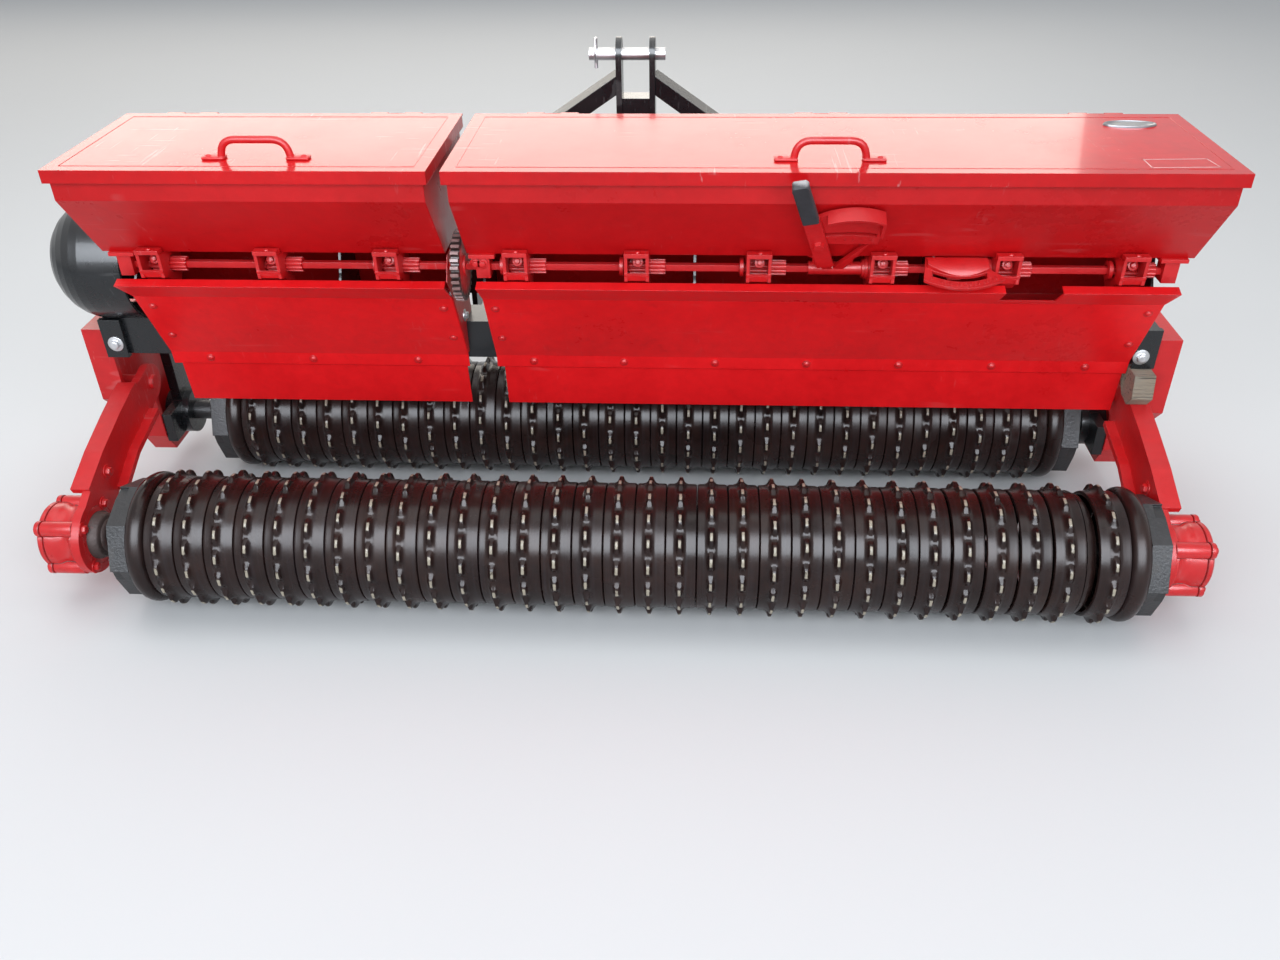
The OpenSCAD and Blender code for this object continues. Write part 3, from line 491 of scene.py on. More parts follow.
def metal(name, colour, rough, metallic, grain=60.0, stain=(0.10, 0.08, 0.06), stained=0.4, bump=0.0002):
    """Plain or plated metal with stains."""
    tree, shader, spot = finish_shell(name)
    cloud = effect(tree, "Clouding", scale=9.0, fine=grain)
    base = blend(tree, cloud, [c * 0.72 for c in colour], [min(1, c * 1.15) for c in colour])
    marks = span(tree, noise(tree, spot, 24.0, 6.0, 0.7), 0.55, 0.70, 0.0, stained)
    base = blend(tree, marks, base, stain)
    wire(tree, shader, Base_Color=base,
         Roughness=maths(tree, "ADD", span(tree, cloud, 0, 1, rough * 0.8, rough * 1.25),
                         maths(tree, "MULTIPLY", marks, 0.3)),
         Metallic=maths(tree, "MULTIPLY", maths(tree, "SUBTRACT", 1.0, marks), metallic))
    bumped(tree, shader, noise(tree, spot, grain * 3, 3.0, 0.6), bump, edge=0.001)


def timber():
    """Grey weathered wood with open grain along X."""
    tree, shader, spot = finish_shell("old_wood")
    grain = noise(tree, spot, 9.0, 8.0, 0.7, stretch=(3, 28, 28))
    cracks = span(tree, noise(tree, spot, 6.0, 3.0, 0.6, stretch=(1.5, 34, 34)), 0.60, 0.68)
    base = blend(tree, grain, (0.11, 0.075, 0.045), (0.40, 0.33, 0.23))
    base = blend(tree, span(tree, noise(tree, spot, 14.0, 4.0), 0.48, 0.7, 0, 0.6), base,
                 (0.22, 0.21, 0.17))
    base = blend(tree, cracks, base, (0.025, 0.018, 0.012))
    wire(tree, shader, Base_Color=base, Roughness=span(tree, grain, 0, 1, 0.95, 0.72))
    height = maths(tree, "SUBTRACT", maths(tree, "MULTIPLY", grain, 0.0022),
                   maths(tree, "MULTIPLY", cracks, 0.002))
    bumped(tree, shader, height, 1.0, edge=0.004)


def grip_rubber():
    """Matt black rubber, pale and rubbed at its end."""
    tree, shader, spot = finish_shell("grip_rubber")
    grip_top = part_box("lever_grip")[1][2]
    height = put(tree, "ShaderNodeSeparateXYZ", {0: spot}).outputs["Z"]
    grain = noise(tree, spot, 70.0, 5.0, 0.7)
    tip = span(tree, maths(tree, "ADD", height, maths(tree, "MULTIPLY", grain, 0.010)),
               grip_top - 0.004, grip_top + 0.002)
    base = blend(tree, effect(tree, "Clouding", scale=14.0, fine=90.0), (0.008, 0.009, 0.012),
                 (0.022, 0.023, 0.030))
    base = blend(tree, tip, base, (0.42, 0.40, 0.40))
    wire(tree, shader, Base_Color=base, Roughness=span(tree, grain, 0, 1, 0.50, 0.75))
    bumped(tree, shader, grain, 0.0004, edge=0.002)


def gear_grease(colours):
    """Casting red on the gear's sides, dark grease and bare metal at its teeth."""
    tree, shader, spot = finish_shell("gear_steel")
    away = axis_radius(tree, spot, FEED_AXIS)
    grain = noise(tree, spot, 60.0, 5.0, 0.7)
    reach = maths(tree, "ADD", away, maths(tree, "MULTIPLY", maths(tree, "SUBTRACT", grain, 0.5), 0.02))
    base = blend(tree, span(tree, reach, 0.044, 0.056), colours.cast_red, (0.035, 0.014, 0.012))
    base = blend(tree, span(tree, maths(tree, "ADD", away, maths(tree, "MULTIPLY", grain, 0.004)),
                            0.0655, 0.0685), base, (0.30, 0.16, 0.15))
    wire(tree, shader, Base_Color=base, Roughness=span(tree, grain, 0.3, 0.7, 0.25, 0.6))
    bumped(tree, shader, grain, 0.0006, edge=0.0008)


def pale_floor(colour):
    """Pale floor; seen and mirrored it has its own colour, and it keeps the shadow."""
    tree, shader, spot = finish_shell("floor")
    base = blend(tree, noise(tree, spot, 1.2, 3.0), [c * 0.97 for c in colour], colour)
    wire(tree, shader, Base_Color=base)
    shader.inputs["Roughness"].default_value = 0.85
    shader.inputs["Specular IOR Level"].default_value = 0.2


def make_finishes(drill):
    colours = drill.finish
    for build in (build_edge_wear, build_soft_edge, build_clouding, build_scratches,
                  build_settled_dust):
        made = build()
        GROUPS[made.name] = made
    sheet, cast, black = list(colours.sheet_red), list(colours.cast_red), list(colours.gloss_black)
    paint("red_paint", [c * 0.82 for c in sheet], 0.30, 0.02, 0.18, dust=0.04, scratch=0.10,
          edge=0.002, wave=0.0006)
    # The shields wear a brighter copy of the sheet red: painted light that stands for the stronger light
    # their faces catch.
    paint("shield_lit_paint", [min(0.86, c * 1.22) for c in sheet], 0.32, 0.02, 0.18, dust=0.03,
          scratch=0.10, edge=0.002, wave=0.0006)
    paint("housing_paint", cast, 0.30, 0.10, 0.62, cast=0.8, dust=0.02, scratch=0.1, edge=0.003,
          shine_level=0.4)
    paint("lid_paint", [c * 0.86 for c in sheet], 0.22, 0.30, 0.18, dust=0.03, scratch=0.6,
          edge=0.002, wave=0.0006, shine_level=0.06)
    paint("red_casting", cast, 0.36, 0.05, 0.42, cast=1.0, dust=0.08, scratch=0.25, shine_level=0.3)
    paint("black_paint", black, 0.28, 0.15, 0.25, cast=0.3, dust=0.04, scratch=0.2, shine_level=0.35)
    ring_iron("rear_iron", REAR_AXIS, drill.rings, colours)
    ring_iron("front_iron", FRONT_AXIS, drill.rings, colours)
    metal("axle_black", (0.022, 0.022, 0.024), 0.40, 0.15, stain=(0.02, 0.014, 0.010), stained=0.6,
          bump=0.0008)
    metal("zinc", list(colours.zinc), 0.34, 0.9)
    metal("badge_metal", (0.24, 0.24, 0.25), 0.34, 0.8, grain=30.0, stain=(0.16, 0.15, 0.16),
          stained=0.5, bump=0.0004)
    metal("worn_paint", (0.80, 0.42, 0.42), 0.5, 0.0, stain=(0.62, 0.08, 0.08), stained=0.9)
    metal("seal_brown", (0.05, 0.030, 0.026), 0.55, 0.2, stain=(0.25, 0.03, 0.03), stained=0.6,
          bump=0.0010)
    timber()
    grip_rubber()
    gear_grease(colours)
    pale_floor(list(colours.floor))


# Rings

# Place of a ring's crest as a share of its pitch, and the left ends of the rollers.
CREST_AT = 0.46
REAR_START, FRONT_START = -0.902, -0.891
SEAM_RADIUS, HUB_RADIUS = 0.1125, 0.0600


def ring_section(rings):
    """Outline of one ring as [place along the axle, radius], seam to seam."""
    tip, band = rings.tip, rings.band
    half = [(0.0140, 0.0), (0.0098, 0.0016), (0.0066, 0.0045), (0.0047, 0.0085), (0.0034, 0.0122),
            (0.0019, tip - band)]
    crest = rings.pitch * CREST_AT
    left = [(0.0005, SEAM_RADIUS - band), (0.0006, -0.0030), (0.0018, -0.0010), (0.0055, 0.0)]
    outline = [(x, band + up) for x, up in left]
    outline += [(crest - out, band + up) for out, up in half]
    outline += [(crest + out, band + up) for out, up in reversed(half)]
    outline += [(rings.pitch - x, band + up) for x, up in reversed(left)]
    return outline


def notched(radius, angle, rings):
    """Radius held down inside the round notches, which repeat round the ring."""
    pitch = math.tau / rings.teeth
    off = (angle + pitch / 2) % pitch - pitch / 2
    centre = rings.tip + 0.003
    cut = centre - rings.notch
    side = centre * math.sin(off)
    if abs(side) >= cut:
        return radius
    return min(radius, centre * math.cos(off) - math.sqrt(cut * cut - side * side))


def ring_mesh(rings):
    """One toothed ring about the X axis, its left seam at x = 0."""
    bm = bmesh.new()
    verts = [bm.verts.new((x, 0, r)) for x, r in ring_section(rings)]
    edges = [bm.edges.new(pair) for pair in zip(verts, verts[1:])]
    bmesh.ops.spin(bm, geom=verts + edges, cent=(0, 0, 0), axis=X_AXIS, angle=math.tau,
                   steps=rings.teeth * rings.steps, use_merge=True, dvec=(0, 0, 0),
                   use_duplicate=False)
    for v in bm.verts:
        radius = math.hypot(v.co.y, v.co.z)
        held = notched(radius, math.atan2(v.co.y, v.co.z), rings)
        v.co.y *= held / radius
        v.co.z *= held / radius
    mesh = bpy.data.meshes.new("one_ring")
    bm.to_mesh(mesh)
    bm.free()
    return mesh


def end_ring(bm, place, toward, rings):
    """Smooth domed end ring that starts at a place and points toward the roller's end."""
    outline = [(SEAM_RADIUS, 0.0005), (0.1190, 0.0008), (0.1245, 0.0040), (0.1278, 0.0090),
               (0.1290, 0.0150), (0.1286, 0.0215), (0.1262, 0.0275), (0.1222, 0.0325),
               (0.1185, 0.0352), (0.1140, 0.0366), (HUB_RADIUS, 0.0369)]
    turned(bm, outline, seat_at(place, X_AXIS * toward), rings.teeth * rings.steps)


def ring_stack(name, axis, gap, loose, start, drill, seed, body):
    """All rings of one roller; each has its own place round the axle, as they were slid on."""
    rings = drill.rings
    one = ring_mesh(rings)
    chance = random.Random(seed)
    bm = bmesh.new()
    length = rings.count * rings.pitch + gap + loose * rings.loose_count
    for i in range(rings.count):
        play = min(max(i - rings.count + 2 + rings.loose_count, 0), rings.loose_count)
        x = start + i * rings.pitch + loose * play + (gap if i == rings.count - 1 else 0)
        before = len(bm.verts)
        bm.from_mesh(one)
        bm.verts.ensure_lookup_table()
        turn = Matrix.Rotation(chance.random() * math.tau / rings.teeth, 4, "X")
        place = Matrix.Translation((MID_X + x, axis.y, axis.z)) @ turn
        bmesh.ops.transform(bm, matrix=place, verts=bm.verts[before:])
    ends = Vector((MID_X + start, axis.y, axis.z))
    end_ring(bm, ends, -1, rings)
    end_ring(bm, ends + X_AXIS * length, 1, rings)
    if gap:
        inner = ends + X_AXIS * (length - rings.pitch - gap)
        outline = [(0.1180, 0.0004), (0.1165, 0.0060), (0.1135, 0.0120), (0.1085, 0.0165),
                   (0.1010, 0.0185), (0.1005, gap)]
        turned(bm, outline, seat_at(inner, X_AXIS), rings.teeth * rings.steps)
    material = FINISH["rear_iron" if gap else "front_iron"]
    stack = piece(bm, name, material, body, smooth=38)
    bpy.data.meshes.remove(one)
    return stack


class OBJECT_OT_drill_rings(bpy.types.Operator):
    """Adds the toothed rings of both rollers in place of their plain solids"""

    bl_idname = "object.drill_rings"
    bl_label = "Toothed rings"

    def execute(self, context):
        drill = context.scene.seed_drill
        rings = drill.rings
        rear = ring_stack("rings_rear", REAR_AXIS, rings.gap, rings.loose, REAR_START, drill, 11,
                          "rear_roller")
        front = ring_stack("rings_front", FRONT_AXIS, 0.0, 0.0, FRONT_START, drill, 5,
                           "front_roller")
        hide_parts("rear_rings")
        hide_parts("front_rings")
        return {"FINISHED"}


# Lids and their handles

# Columns: body, left end, right end, middle of the handle.
LIDS = (("left_lid", -985, -322, -630), ("right_lid", -298, 1029, 355))
LID_HALF = 174.5
BORDER_IN = 24
GRIP_HALF, GRIP_RISE, GRIP_RADIUS, GRIP_Y = 58, 33, 6.5, -108


def pressed_border(bm, x0, x1):
    """Shallow rounded bead pressed along the edges of a lid."""
    inset, y0, y1, z = BORDER_IN, -LID_HALF, LID_HALF - 1, LID_TOP - 0.2
    corners = [at(x0 + inset, y0 + inset, z), at(x1 - inset, y0 + inset, z),
               at(x1 - inset, y1 - inset, z), at(x0 + inset, y1 - inset, z)]
    for a, b in zip(corners, corners[1:] + corners[:1]):
        rod(bm, a, b, 0.0008, 12)


def lid_handle(bm, x):
    """Round bar handle: its ends are flattened into feet that point outwards."""
    low, high = LID_TOP + 2, LID_TOP + GRIP_RISE
    legs = [at(x + side * (GRIP_HALF + out), GRIP_Y, z)
            for side, out, z in ((-1, 3, low), (-1, -2, high), (1, -2, high), (1, 3, low))]
    bent_rod(bm, corner_path(legs, 0.024), GRIP_RADIUS / 1000, 16)
    for side in (-1, 1):
        foot = at(x + side * (GRIP_HALF + 16), GRIP_Y, LID_TOP + 2.4)
        slab(bm, Matrix.Translation(foot), (0.040, 0.020, 0.0048), 0.002)
        dome_head(bm, seat_at(at(x + side * (GRIP_HALF + 26), GRIP_Y, LID_TOP + 4.6)), 0.0050, 0.0030)


class OBJECT_OT_drill_lids(bpy.types.Operator):
    """Adds the lids' pressed borders and their bent handles"""

    bl_idname = "object.drill_lids"
    bl_label = "Lids and handles"

    def execute(self, context):
        for body, x0, x1, grip in LIDS:
            side = body.split("_")[0]
            bm = bmesh.new()
            pressed_border(bm, x0, x1)
            piece(bm, "border_" + side, FINISH["lid_paint"], body)
            bm = bmesh.new()
            lid_handle(bm, grip)
            grab = piece(bm, "grab_" + side, FINISH["red_casting"], body, smooth=50)
            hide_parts("handle_" + side)
        return {"FINISHED"}


# Blank plates on the right lid

class OBJECT_OT_drill_plates(bpy.types.Operator):
    """Adds the blank oval plate and the worn outline of a label on the right lid"""

    bl_idname = "object.drill_plates"
    bl_label = "Blank plates"

    def execute(self, context):
        bm = bmesh.new()
        place = Matrix.Translation(at(917, 101, LID_TOP)) @ Matrix.Diagonal((1, 0.42, 1, 1))
        turned(bm, [(0.00001, 0.0020), (0.028, 0.0022), (0.041, 0.0020), (0.0430, 0.0034),
                    (0.0465, 0.0034), (0.0480, 0.0004), (0.0480, 0.0001)], place, 64)
        piece(bm, "blank_oval", FINISH["badge_metal"], "right_lid", smooth=50)
        bm = bmesh.new()
        z = LID_TOP + 0.25
        corners = [at(876, -101, z), at(981, -97, z), at(987, -140, z), at(876, -144, z)]
        for a, b in zip(corners, corners[1:] + corners[:1]):
            middle = (a + b) / 2
            run = b - a
            place = seat_at(middle) @ Matrix.Rotation(math.atan2(run.y, run.x), 4, "Z")
            slab(bm, place, (run.length + 0.002, 0.0022, 0.0004))
        piece(bm, "label_outline", FINISH["worn_paint"], "right_lid")
        return {"FINISHED"}


# Screws and bolts

# Columns: y, z of the rear face of a shield: top, fold and lower edge.
SHIELD_FACE = (Vector((-51.3, 561.3)), Vector((32.5, 399.5)), Vector((35.5, 371.8)))


def shield_seat(x, z):
    """A seat on the rear face of a shield at a height."""
    top, low = SHIELD_FACE[:2] if z > SHIELD_FACE[1].y else SHIELD_FACE[1:]
    spot = low.lerp(top, (z - low.y) / (top.y - low.y))
    run = (top - low).normalized()
    return seat_at(at(x, spot.x, z), Vector((0, -run.y, run.x)))


# Columns: x, z of the screws on the shields.
SHIELD_SCREWS = ([(-925, 535), (-925, 452), (-872, 386), (-655, 386), (-436, 386), (-352, 535),
                  (-350, 452)]
                 + [(-252, 535), (-252, 452)] + [(-196 + k * 185, 386) for k in range(7)]
                 + [(976, 452), (978, 538)])
# Columns: x, y, z of the frame's zinc bolts.
FRAME_BOLTS = ((FRAME_OFF - 1041, 26, 419), (FRAME_OFF + 1035, 26, 414))


class OBJECT_OT_drill_screws(bpy.types.Operator):
    """Adds the screws of the shields and the zinc bolts of the frame"""

    bl_idname = "object.drill_screws"
    bl_label = "Screws and bolts"

    def execute(self, context):
        bm = bmesh.new()
        for x, z in SHIELD_SCREWS:
            place = shield_seat(x, z)
            disc(bm, place, 0.0085, 0.0012, 20)
            dome_head(bm, place @ Matrix.Translation((0, 0, 0.0012)), 0.0062, 0.0036)
        piece(bm, "shield_screws", FINISH["red_casting"], "frame", smooth=50)
        bm = bmesh.new()
        for x, y, z in FRAME_BOLTS:
            hex_bolt(bm, seat_at(at(x, y, z), BACK, 0.3), 0.017)
        hex_bolt(bm, seat_at(at(-327.8, 27, 491), X_AXIS, 0.2), 0.013)
        piece(bm, "frame_bolts", FINISH["zinc"], "frame", smooth=40)
        return {"FINISHED"}


class OBJECT_OT_drill_panels(bpy.types.Operator):
    """Adds the skirts under the panels in front of the feed row, and the left shield's end plate"""

    bl_idname = "object.drill_panels"
    bl_label = "Skirts and end plate"

    def execute(self, context):
        bm = bmesh.new()
        for x0, x1 in ((-952, -330), (-272, 998)):
            a, b = Vector((92.3, 519)), Vector((95.5, 472.5))
            run = b - a
            place = at((x0 + x1) / 2, (a.x + b.x) / 2, (a.y + b.y) / 2)
            tilt = Matrix.Rotation(math.atan2(run.x, -run.y), 4, "X")
            slab(bm, Matrix.Translation(place) @ tilt, ((x1 - x0) / 1000, 0.003, run.length / 1000),
                 0.0008)
        piece(bm, "panel_skirts", FINISH["red_casting"], "frame")
        bm = bmesh.new()
        outline = ((-86, 609), (-52, 566), (31, 406), (62, 406), (96, 474), (62, 652), (-60, 652))
        verts = [bm.verts.new(at(-329.4, y, z)) for y, z in outline]
        face = bm.faces.new(verts)
        made = bmesh.ops.extrude_face_region(bm, geom=[face])
        bmesh.ops.translate(bm, vec=(0.0014, 0, 0),
                            verts=[v for v in made["geom"] if isinstance(v, bmesh.types.BMVert)])
        piece(bm, "end_plate", FINISH["red_casting"], "frame")
        return {"FINISHED"}


# Places of a rear bearing: its inner face and its row, its cover and its lobes, in metres.
BEARING_X, BEARING_Y = 1030, -250
COVER_OUT, LOBE_OFF = 0.0800, 0.045
# Outlines of a rear bearing as [radius, place outwards]: waisted body, domed cap, and left seal.
HOUSING_LINE = ((0.0222, 0.0000), (0.0585, 0.0000), (0.0598, 0.0015), (0.0598, 0.0160),
                (0.0640, 0.0162), (0.0645, 0.0260), (0.0600, 0.0310), (0.0575, 0.0400),
                (0.0575, 0.0520), (0.0620, 0.0600), (0.0635, 0.0660), (0.0635, 0.0780),
                (0.0610, 0.0788), (0.0610, 0.0795))
CAP_LINE = ((0.0615, 0.0000), (0.0640, 0.0006), (0.0645, 0.0080), (0.0620, 0.0110),
            (0.0540, 0.0128), (0.0420, 0.0136), (0.0400, 0.0156), (0.0370, 0.0163),
            (0.00001, 0.0163))
SEAL_LINE = ((0.0480, 0.0000), (0.0480, 0.0060), (0.0460, 0.0090), (0.0440, 0.0160),
             (0.0400, 0.0190), (0.0330, 0.0200), (0.0300, 0.0240), (0.0240, 0.0255),
             (0.0222, 0.0255))


class OBJECT_OT_drill_bearings(bpy.types.Operator):
    """Adds the rear bearings with their covers, bolts and seal in place of the plain solids"""

    bl_idname = "object.drill_bearings"
    bl_label = "Bearing details"

    def execute(self, context):
        bolts, bodies, caps, seals = (bmesh.new() for _ in range(4))
        axle_z = REAR_AXIS.z * 1000
        for side in (-1, 1):
            out = X_AXIS * side
            inner = at(FRAME_OFF + side * BEARING_X, BEARING_Y, axle_z)
            turned(bodies, HOUSING_LINE, seat_at(inner, out), 64)
            turned(caps, CAP_LINE, seat_at(inner + out * COVER_OUT, out), 64)
            for sy in (-1, 1):
                for sz in (-1, 1):
                    lobe = Vector((0, sy * LOBE_OFF, sz * LOBE_OFF))
                    disc(bodies, seat_at(inner + lobe + out * 0.016, out), 0.0150, 0.0625, 28,
                         chamfer=0.002)
                    disc(caps, seat_at(inner + lobe + out * COVER_OUT, out), 0.0155, 0.0105, 28,
                         chamfer=0.003)
                    hex_bolt(bolts, seat_at(inner + lobe + out * 0.0905, out, 0.2 * sy), 0.011,
                             washer=False)
                    if side < 0:
                        hex_bolt(bolts, seat_at(inner + lobe, -out, 0.3 * sz), 0.015)
            for reach, way, turn, across in ((16, out, 0.1, 0.013), (0, -out, 0.4, 0.016)):
                spot = at(FRAME_OFF + side * (BEARING_X + reach), -160, 226)
                hex_bolt(bolts, seat_at(spot, way, turn), across)
        left = at(FRAME_OFF - BEARING_X, BEARING_Y, axle_z)
        turned(seals, SEAL_LINE, seat_at(left, X_AXIS), 48)
        for bm, name, finish, node in ((bolts, "bearing_bolts", "red_casting", None),
                                       (bodies, "bearing_housings", "housing_paint", "rear_bearings"),
                                       (caps, "bearing_covers", "housing_paint", "bearing_caps"),
                                       (seals, "bearing_seal", "seal_brown", None)):
            made = piece(bm, name, FINISH[finish], "frame", smooth=40)
            if node:
                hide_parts(node)
        return {"FINISHED"}


# Small parts of the feed row

CUPS = [-879 + 221.8 * k + (16 if k > 2 else 0) for k in range(9)]
QUAD_X, QUAD_LEAN = 374, math.atan2(98.5, 131.5)


def on_slope(side, along, out):
    """A place on the quadrant's plate: to its side, along its slope and out of it."""
    lean = (Matrix.Translation(at(QUAD_X, -50, 629)) @ Matrix.Rotation(QUAD_LEAN, 4, "X")
            @ Matrix.Rotation(math.radians(90), 4, "X"))
    return lean @ Matrix.Translation((side / 1000, along / 1000, out / 1000))


def wing_bolt(bm, place):
    """Thumb bolt: a stem with two wings."""
    disc(bm, place, 0.0042, 0.016, 14)
    head = place @ Matrix.Translation((0, 0, 0.016))
    disc(bm, head, 0.0062, 0.006, 16, chamfer=0.001)
    for side in (-1, 1):
        wing = head @ Matrix.Translation((side * 0.009, 0, 0.006)) @ Matrix.Rotation(side * -0.5, 4, "Y")
        slab(bm, wing, (0.014, 0.0035, 0.010), 0.0016)


class OBJECT_OT_drill_feed(bpy.types.Operator):
    """Adds the set bolts, collars and wing bolts of the feed row"""

    bl_idname = "object.drill_feed"
    bl_label = "Feed details"

    def execute(self, context):
        cups = bmesh.new()
        collars = bmesh.new()
        for x in CUPS:
            hex_bolt(cups, seat_at(at(x + 2, -74, 648), BACK + Z_AXIS * 0.4), 0.010)
            rod(cups, at(x + 2, -74, 648), at(x + 2, -54, 648), 0.003, 12)
            dome_head(cups, seat_at(at(x + 2, -88, 672)), 0.0050, 0.0030)
            place = seat_at(at(x - 34, -50, 629), X_AXIS)
            turned(collars, [(0.0092, 0.0), (0.0175, 0.0008), (0.0175, 0.0075), (0.0092, 0.0082)],
                   place, 28)
            for side in (-1, 1):
                slab(cups, Matrix.Translation(at(x + side * 15, -93, 629)), (0.008, 0.004, 0.005),
                     0.0006)
        piece(cups, "cup_bolts", FINISH["red_casting"], "frame", smooth=40)
        piece(collars, "shaft_collars", FINISH["red_casting"], "feed_rotor", smooth=40)
        bm = bmesh.new()
        for x in (QUAD_X - 26, QUAD_X + 40):
            wing_bolt(bm, seat_at(at(x, -54, 640), Z_AXIS * 0.9 + BACK * 0.4))
        for x in (-262, -276):
            hex_bolt(bm, seat_at(at(x, -67, 640), BACK, 0.3), 0.011)
        piece(bm, "wing_bolts", FINISH["red_casting"], "frame", smooth=40)
        return {"FINISHED"}


def raised_number(text, size):
    """Mesh of one raised number, its middle at the origin, standing up along +Z."""
    curve = bpy.data.curves.new("number", "FONT")
    curve.body = text
    curve.size = size
    curve.align_x = "CENTER"
    curve.align_y = "CENTER"
    curve.extrude = 0.0006
    curve.resolution_u = 3
    holder = bpy.data.objects.new("number", curve)
    bpy.context.collection.objects.link(holder)
    mesh = bpy.data.meshes.new_from_object(holder.evaluated_get(
        bpy.context.evaluated_depsgraph_get()))
    bpy.data.objects.remove(holder)
    bpy.data.curves.remove(curve)
    return mesh


def add_mesh(bm, mesh, place):
    before = len(bm.verts)
    bm.from_mesh(mesh)
    bm.verts.ensure_lookup_table()
    bmesh.ops.transform(bm, matrix=place, verts=bm.verts[before:])
    bpy.data.meshes.remove(mesh)


class OBJECT_OT_drill_scales(bpy.types.Operator):
    """Adds plain raised numbers and marks to the quadrant and the dial"""

    bl_idname = "object.drill_scales"
    bl_label = "Scale marks"

    def execute(self, context):
        bm = bmesh.new()
        dial = (Matrix.Translation(at(600, -70, 651)) @ Matrix.Rotation(math.radians(23.5), 4, "X"))
        for k in range(8):
            a = math.radians(-27 + k * 7.8)
            spot = dial @ Matrix.Translation((0.006, 0.060, 0.006)) @ Matrix.Rotation(a, 4, "Z")
            add_mesh(bm, raised_number(str(k * 10), 0.0125), spot @ Matrix.Translation((0, -0.1200, 0)))
            for part in range(2):
                mark = spot @ Matrix.Rotation(math.radians(part * 3.9), 4, "Z")
                slab(bm, mark @ Matrix.Translation((0, -0.1272, 0)), (0.0009, 0.0045, 0.0012))
        for k in range(6):
            add_mesh(bm, raised_number(str(k), 0.011), on_slope(k * 15 - 14, 109, 8.0))
        piece(bm, "scale_numbers", FINISH["red_casting"], "frame", smooth=30)
        return {"FINISHED"}


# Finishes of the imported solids

# Material slot of the record to finish; slots not named keep their own name.
SLOT_FINISH = {"ring_iron": "rear_iron"}
# Nodes with a finish of their own.
NODE_FINISH = {"lid_left": "lid_paint", "lid_right": "lid_paint", "shield_left": "shield_lit_paint",
               "shield_right": "shield_lit_paint", "shield_flaps": "shield_lit_paint"}


class OBJECT_OT_drill_finish(bpy.types.Operator):
    """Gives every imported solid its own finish"""

    bl_idname = "object.drill_finish"
    bl_label = "Finishes"

    def execute(self, context):
        slots = {s["node"]: s["material_slot"] for s in frame["record"]["subparts"]}
        for node, obj in frame["nodes"].items():
            name = NODE_FINISH.get(node) or SLOT_FINISH.get(slots[node], slots[node])
            if name not in FINISH:
                raise RuntimeError("no finish for " + name)
            for slot in obj.material_slots:
                slot.material = FINISH[name]
        return {"FINISHED"}


# Floor, lamps and camera

# Columns: name, place, aim, width, height, watts, colour, lights the surfaces (or is mirrored only).
LAMPS = (
    ("sky_above", (-0.4, 0.6, 4.2), (0, 0, 0.4), 4.5, 4.5, 105, (1.0, 0.99, 0.98), True),
    ("sky_ahead", (-1.66, 5.4, 2.5), (-1.66, 0, 0.9), 8.7, 1.9, 60, (1.0, 0.91, 0.78), True),
    ("lid_card", (-1.66, 5.35, 2.5), (-1.66, 0, 0.9), 8.7, 1.9, 128, (1.0, 0.93, 0.83), False),
    ("sky_behind", (0.2, -4.4, 3.3), (0, 0, 0.4), 8.0, 3.0, 250, (0.88, 0.94, 1.0), True),
    ("sheen_card", (0.2, -4.2, 3.4), (0, -0.3, 0.2), 9.0, 3.4, 1250, (0.86, 0.92, 1.0), False),
)


def lamp(name, place, aim, width, height, watts, colour, lights):
    """A rectangular lamp outside the picture."""
    data = bpy.data.lights.new(name, "AREA")
    data.shape = "RECTANGLE"
    data.size, data.size_y = width, height
    data.energy = watts
    data.color = colour
    obj = bpy.data.objects.new(name, data)
    obj.location = place
    obj.rotation_euler = (Vector(aim) - Vector(place)).to_track_quat("-Z", "Y").to_euler()
    obj.visible_camera = False
    obj.visible_diffuse = lights
    bpy.context.collection.objects.link(obj)


def pale_world():
    """Soft even sky; seen and mirrored it is a pale background."""
    world = bpy.data.worlds.new("studio")
    bpy.context.scene.world = world
    world.use_nodes = True
    tree = world.node_tree
    tree.nodes.clear()
    path = put(tree, "ShaderNodeLightPath")
    shown = maths(tree, "MAXIMUM", path.outputs["Is Camera Ray"], path.outputs["Is Transmission Ray"])
    shown = maths(tree, "MAXIMUM", shown, path.outputs["Is Glossy Ray"])
    soft = put(tree, "ShaderNodeBackground", {"Color": (0.94, 0.97, 1.0, 1), "Strength": 0.42})
    pale = put(tree, "ShaderNodeBackground", {"Color": (0.93, 0.94, 0.95, 1), "Strength": 1.0})
    mixed = put(tree, "ShaderNodeMixShader", {0: shown, 1: soft.outputs[0], 2: pale.outputs[0]})
    put(tree, "ShaderNodeOutputWorld", {"Surface": mixed.outputs[0]})


# The camera as solved from the photograph: place in the machine's own millimetres, then angles.
CAMERA_PLACE = (130, -1965, 1432)
CAMERA_DOWN, CAMERA_TURN, CAMERA_ROLL = math.radians(33.7), -0.056, 0.0149
CAMERA_LENS = 1100 / 1280 * 36


def photo_camera():
    sin_t, cos_t = math.sin(CAMERA_TURN), math.cos(CAMERA_TURN)
    right, ahead = Vector((cos_t, -sin_t, 0)), Vector((sin_t, cos_t, 0))
    look = math.cos(CAMERA_DOWN) * ahead - math.sin(CAMERA_DOWN) * Z_AXIS
    down = -math.sin(CAMERA_DOWN) * ahead - math.cos(CAMERA_DOWN) * Z_AXIS
    c, s = math.cos(CAMERA_ROLL), math.sin(CAMERA_ROLL)
    right, down = c * right + s * down, c * down - s * right
    data = bpy.data.cameras.new("photo_camera")
    data.sensor_width = 36
    data.lens = CAMERA_LENS
    data.clip_start, data.clip_end = 0.05, 100
    obj = bpy.data.objects.new("photo_camera", data)
    turn = Matrix((right, -down, -look)).transposed()
    obj.matrix_world = Matrix.Translation(at(*CAMERA_PLACE)) @ turn.to_4x4()
    bpy.context.collection.objects.link(obj)
    bpy.context.scene.camera = obj


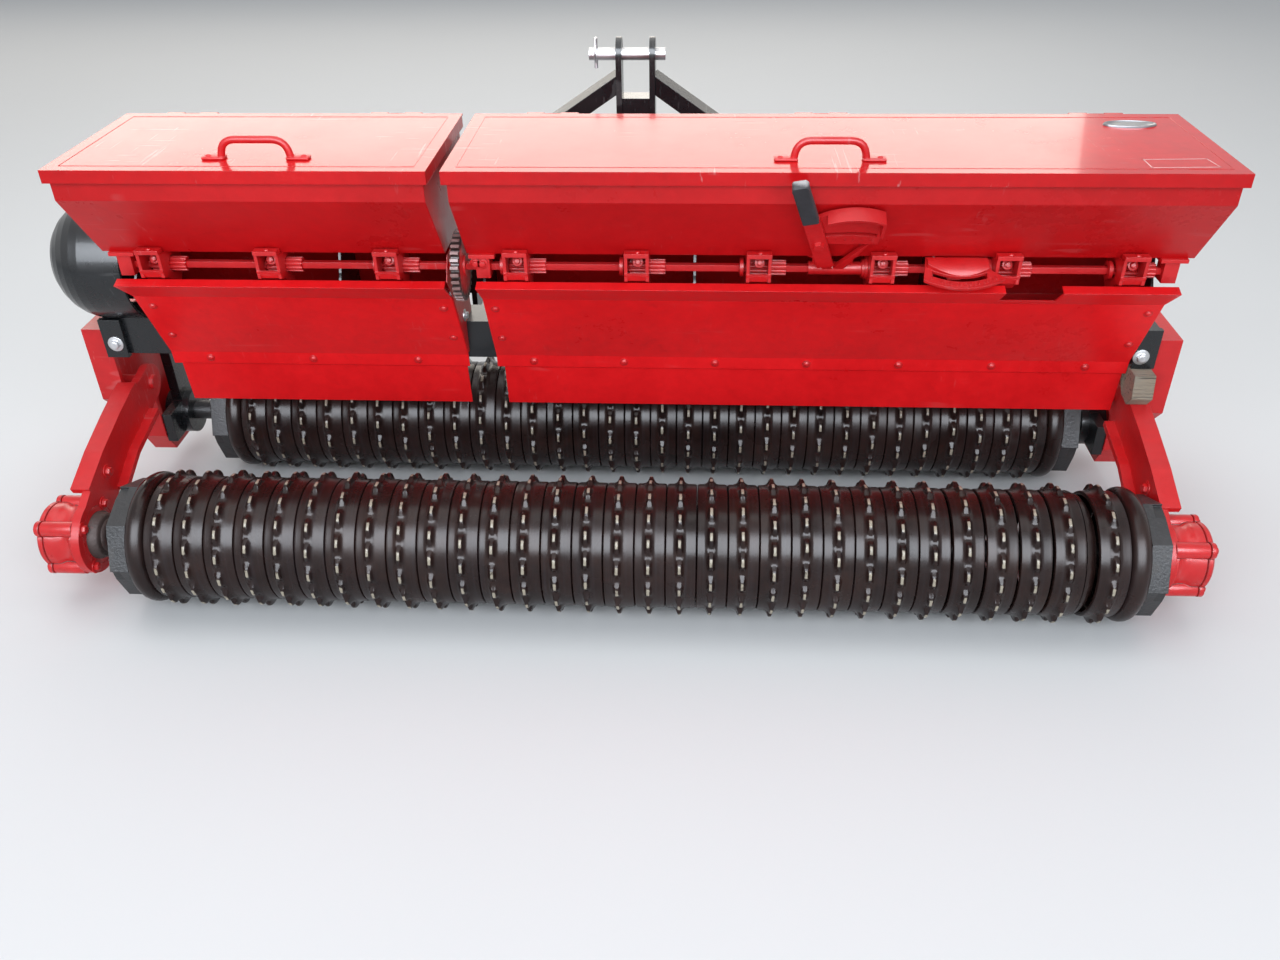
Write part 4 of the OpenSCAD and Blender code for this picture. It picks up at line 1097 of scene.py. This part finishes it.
# Half the side of the floor, in metres.
FLOOR_HALF = 14


class OBJECT_OT_drill_stage(bpy.types.Operator):
    """Adds the floor, the lamps, the pale world and the camera"""

    bl_idname = "object.drill_stage"
    bl_label = "Stage"

    def execute(self, context):
        bm = bmesh.new()
        bmesh.ops.create_grid(bm, x_segments=1, y_segments=1, size=FLOOR_HALF,
                              matrix=Matrix.Translation((0, 0, -0.0005)))
        mesh = bpy.data.meshes.new("floor")
        bm.to_mesh(mesh)
        bm.free()
        mesh.materials.append(FINISH["floor"])
        ground = bpy.data.objects.new("floor", mesh)
        context.collection.objects.link(ground)
        pale_world()
        for row in LAMPS:
            lamp(*row)
        photo_camera()
        context.scene.view_settings.view_transform = "Standard"
        return {"FINISHED"}


class VIEW3D_PT_seed_drill(bpy.types.Panel):
    """Lists the seed drill's operators and settings"""

    bl_idname = "VIEW3D_PT_seed_drill"
    bl_label = "Seed drill"
    bl_space_type = "VIEW_3D"
    bl_region_type = "UI"
    bl_category = "Seed drill"

    def draw(self, context):
        drill = context.scene.seed_drill
        for group in (drill.finish, drill.rings):
            box = self.layout.box()
            for key in group.bl_rna.properties.keys():
                if key not in ("rna_type", "name"):
                    box.prop(group, key)
        for operator in PIECE_OPERATORS:
            self.layout.operator(operator.bl_idname)


class SeedDrill(bpy.types.PropertyGroup):
    """All settings of the seed drill."""

    finish: PointerProperty(type=DrillFinish, name="Finishes", description="Colours")
    rings: PointerProperty(type=DrillRings, name="Rings", description="Sizes of the rings")


PIECE_OPERATORS = (OBJECT_OT_drill_finish, OBJECT_OT_drill_rings, OBJECT_OT_drill_lids,
                   OBJECT_OT_drill_plates, OBJECT_OT_drill_screws, OBJECT_OT_drill_panels,
                   OBJECT_OT_drill_bearings, OBJECT_OT_drill_feed, OBJECT_OT_drill_scales,
                   OBJECT_OT_drill_stage)
CLASSES = (DrillFinish, DrillRings, SeedDrill, *PIECE_OPERATORS, VIEW3D_PT_seed_drill)


def register():
    for cls in CLASSES:
        bpy.utils.register_class(cls)
    bpy.types.Scene.seed_drill = PointerProperty(type=SeedDrill)


def unregister():
    del bpy.types.Scene.seed_drill
    for cls in reversed(CLASSES):
        bpy.utils.unregister_class(cls)


def main():
    register()
    make_finishes(bpy.context.scene.seed_drill)
    bpy.ops.object.drill_finish()
    bpy.ops.object.drill_rings()
    bpy.ops.object.drill_lids()
    bpy.ops.object.drill_plates()
    bpy.ops.object.drill_screws()
    bpy.ops.object.drill_panels()
    bpy.ops.object.drill_bearings()
    bpy.ops.object.drill_feed()
    bpy.ops.object.drill_scales()
    bpy.ops.object.drill_stage()


if __name__ == "__main__":
    main()
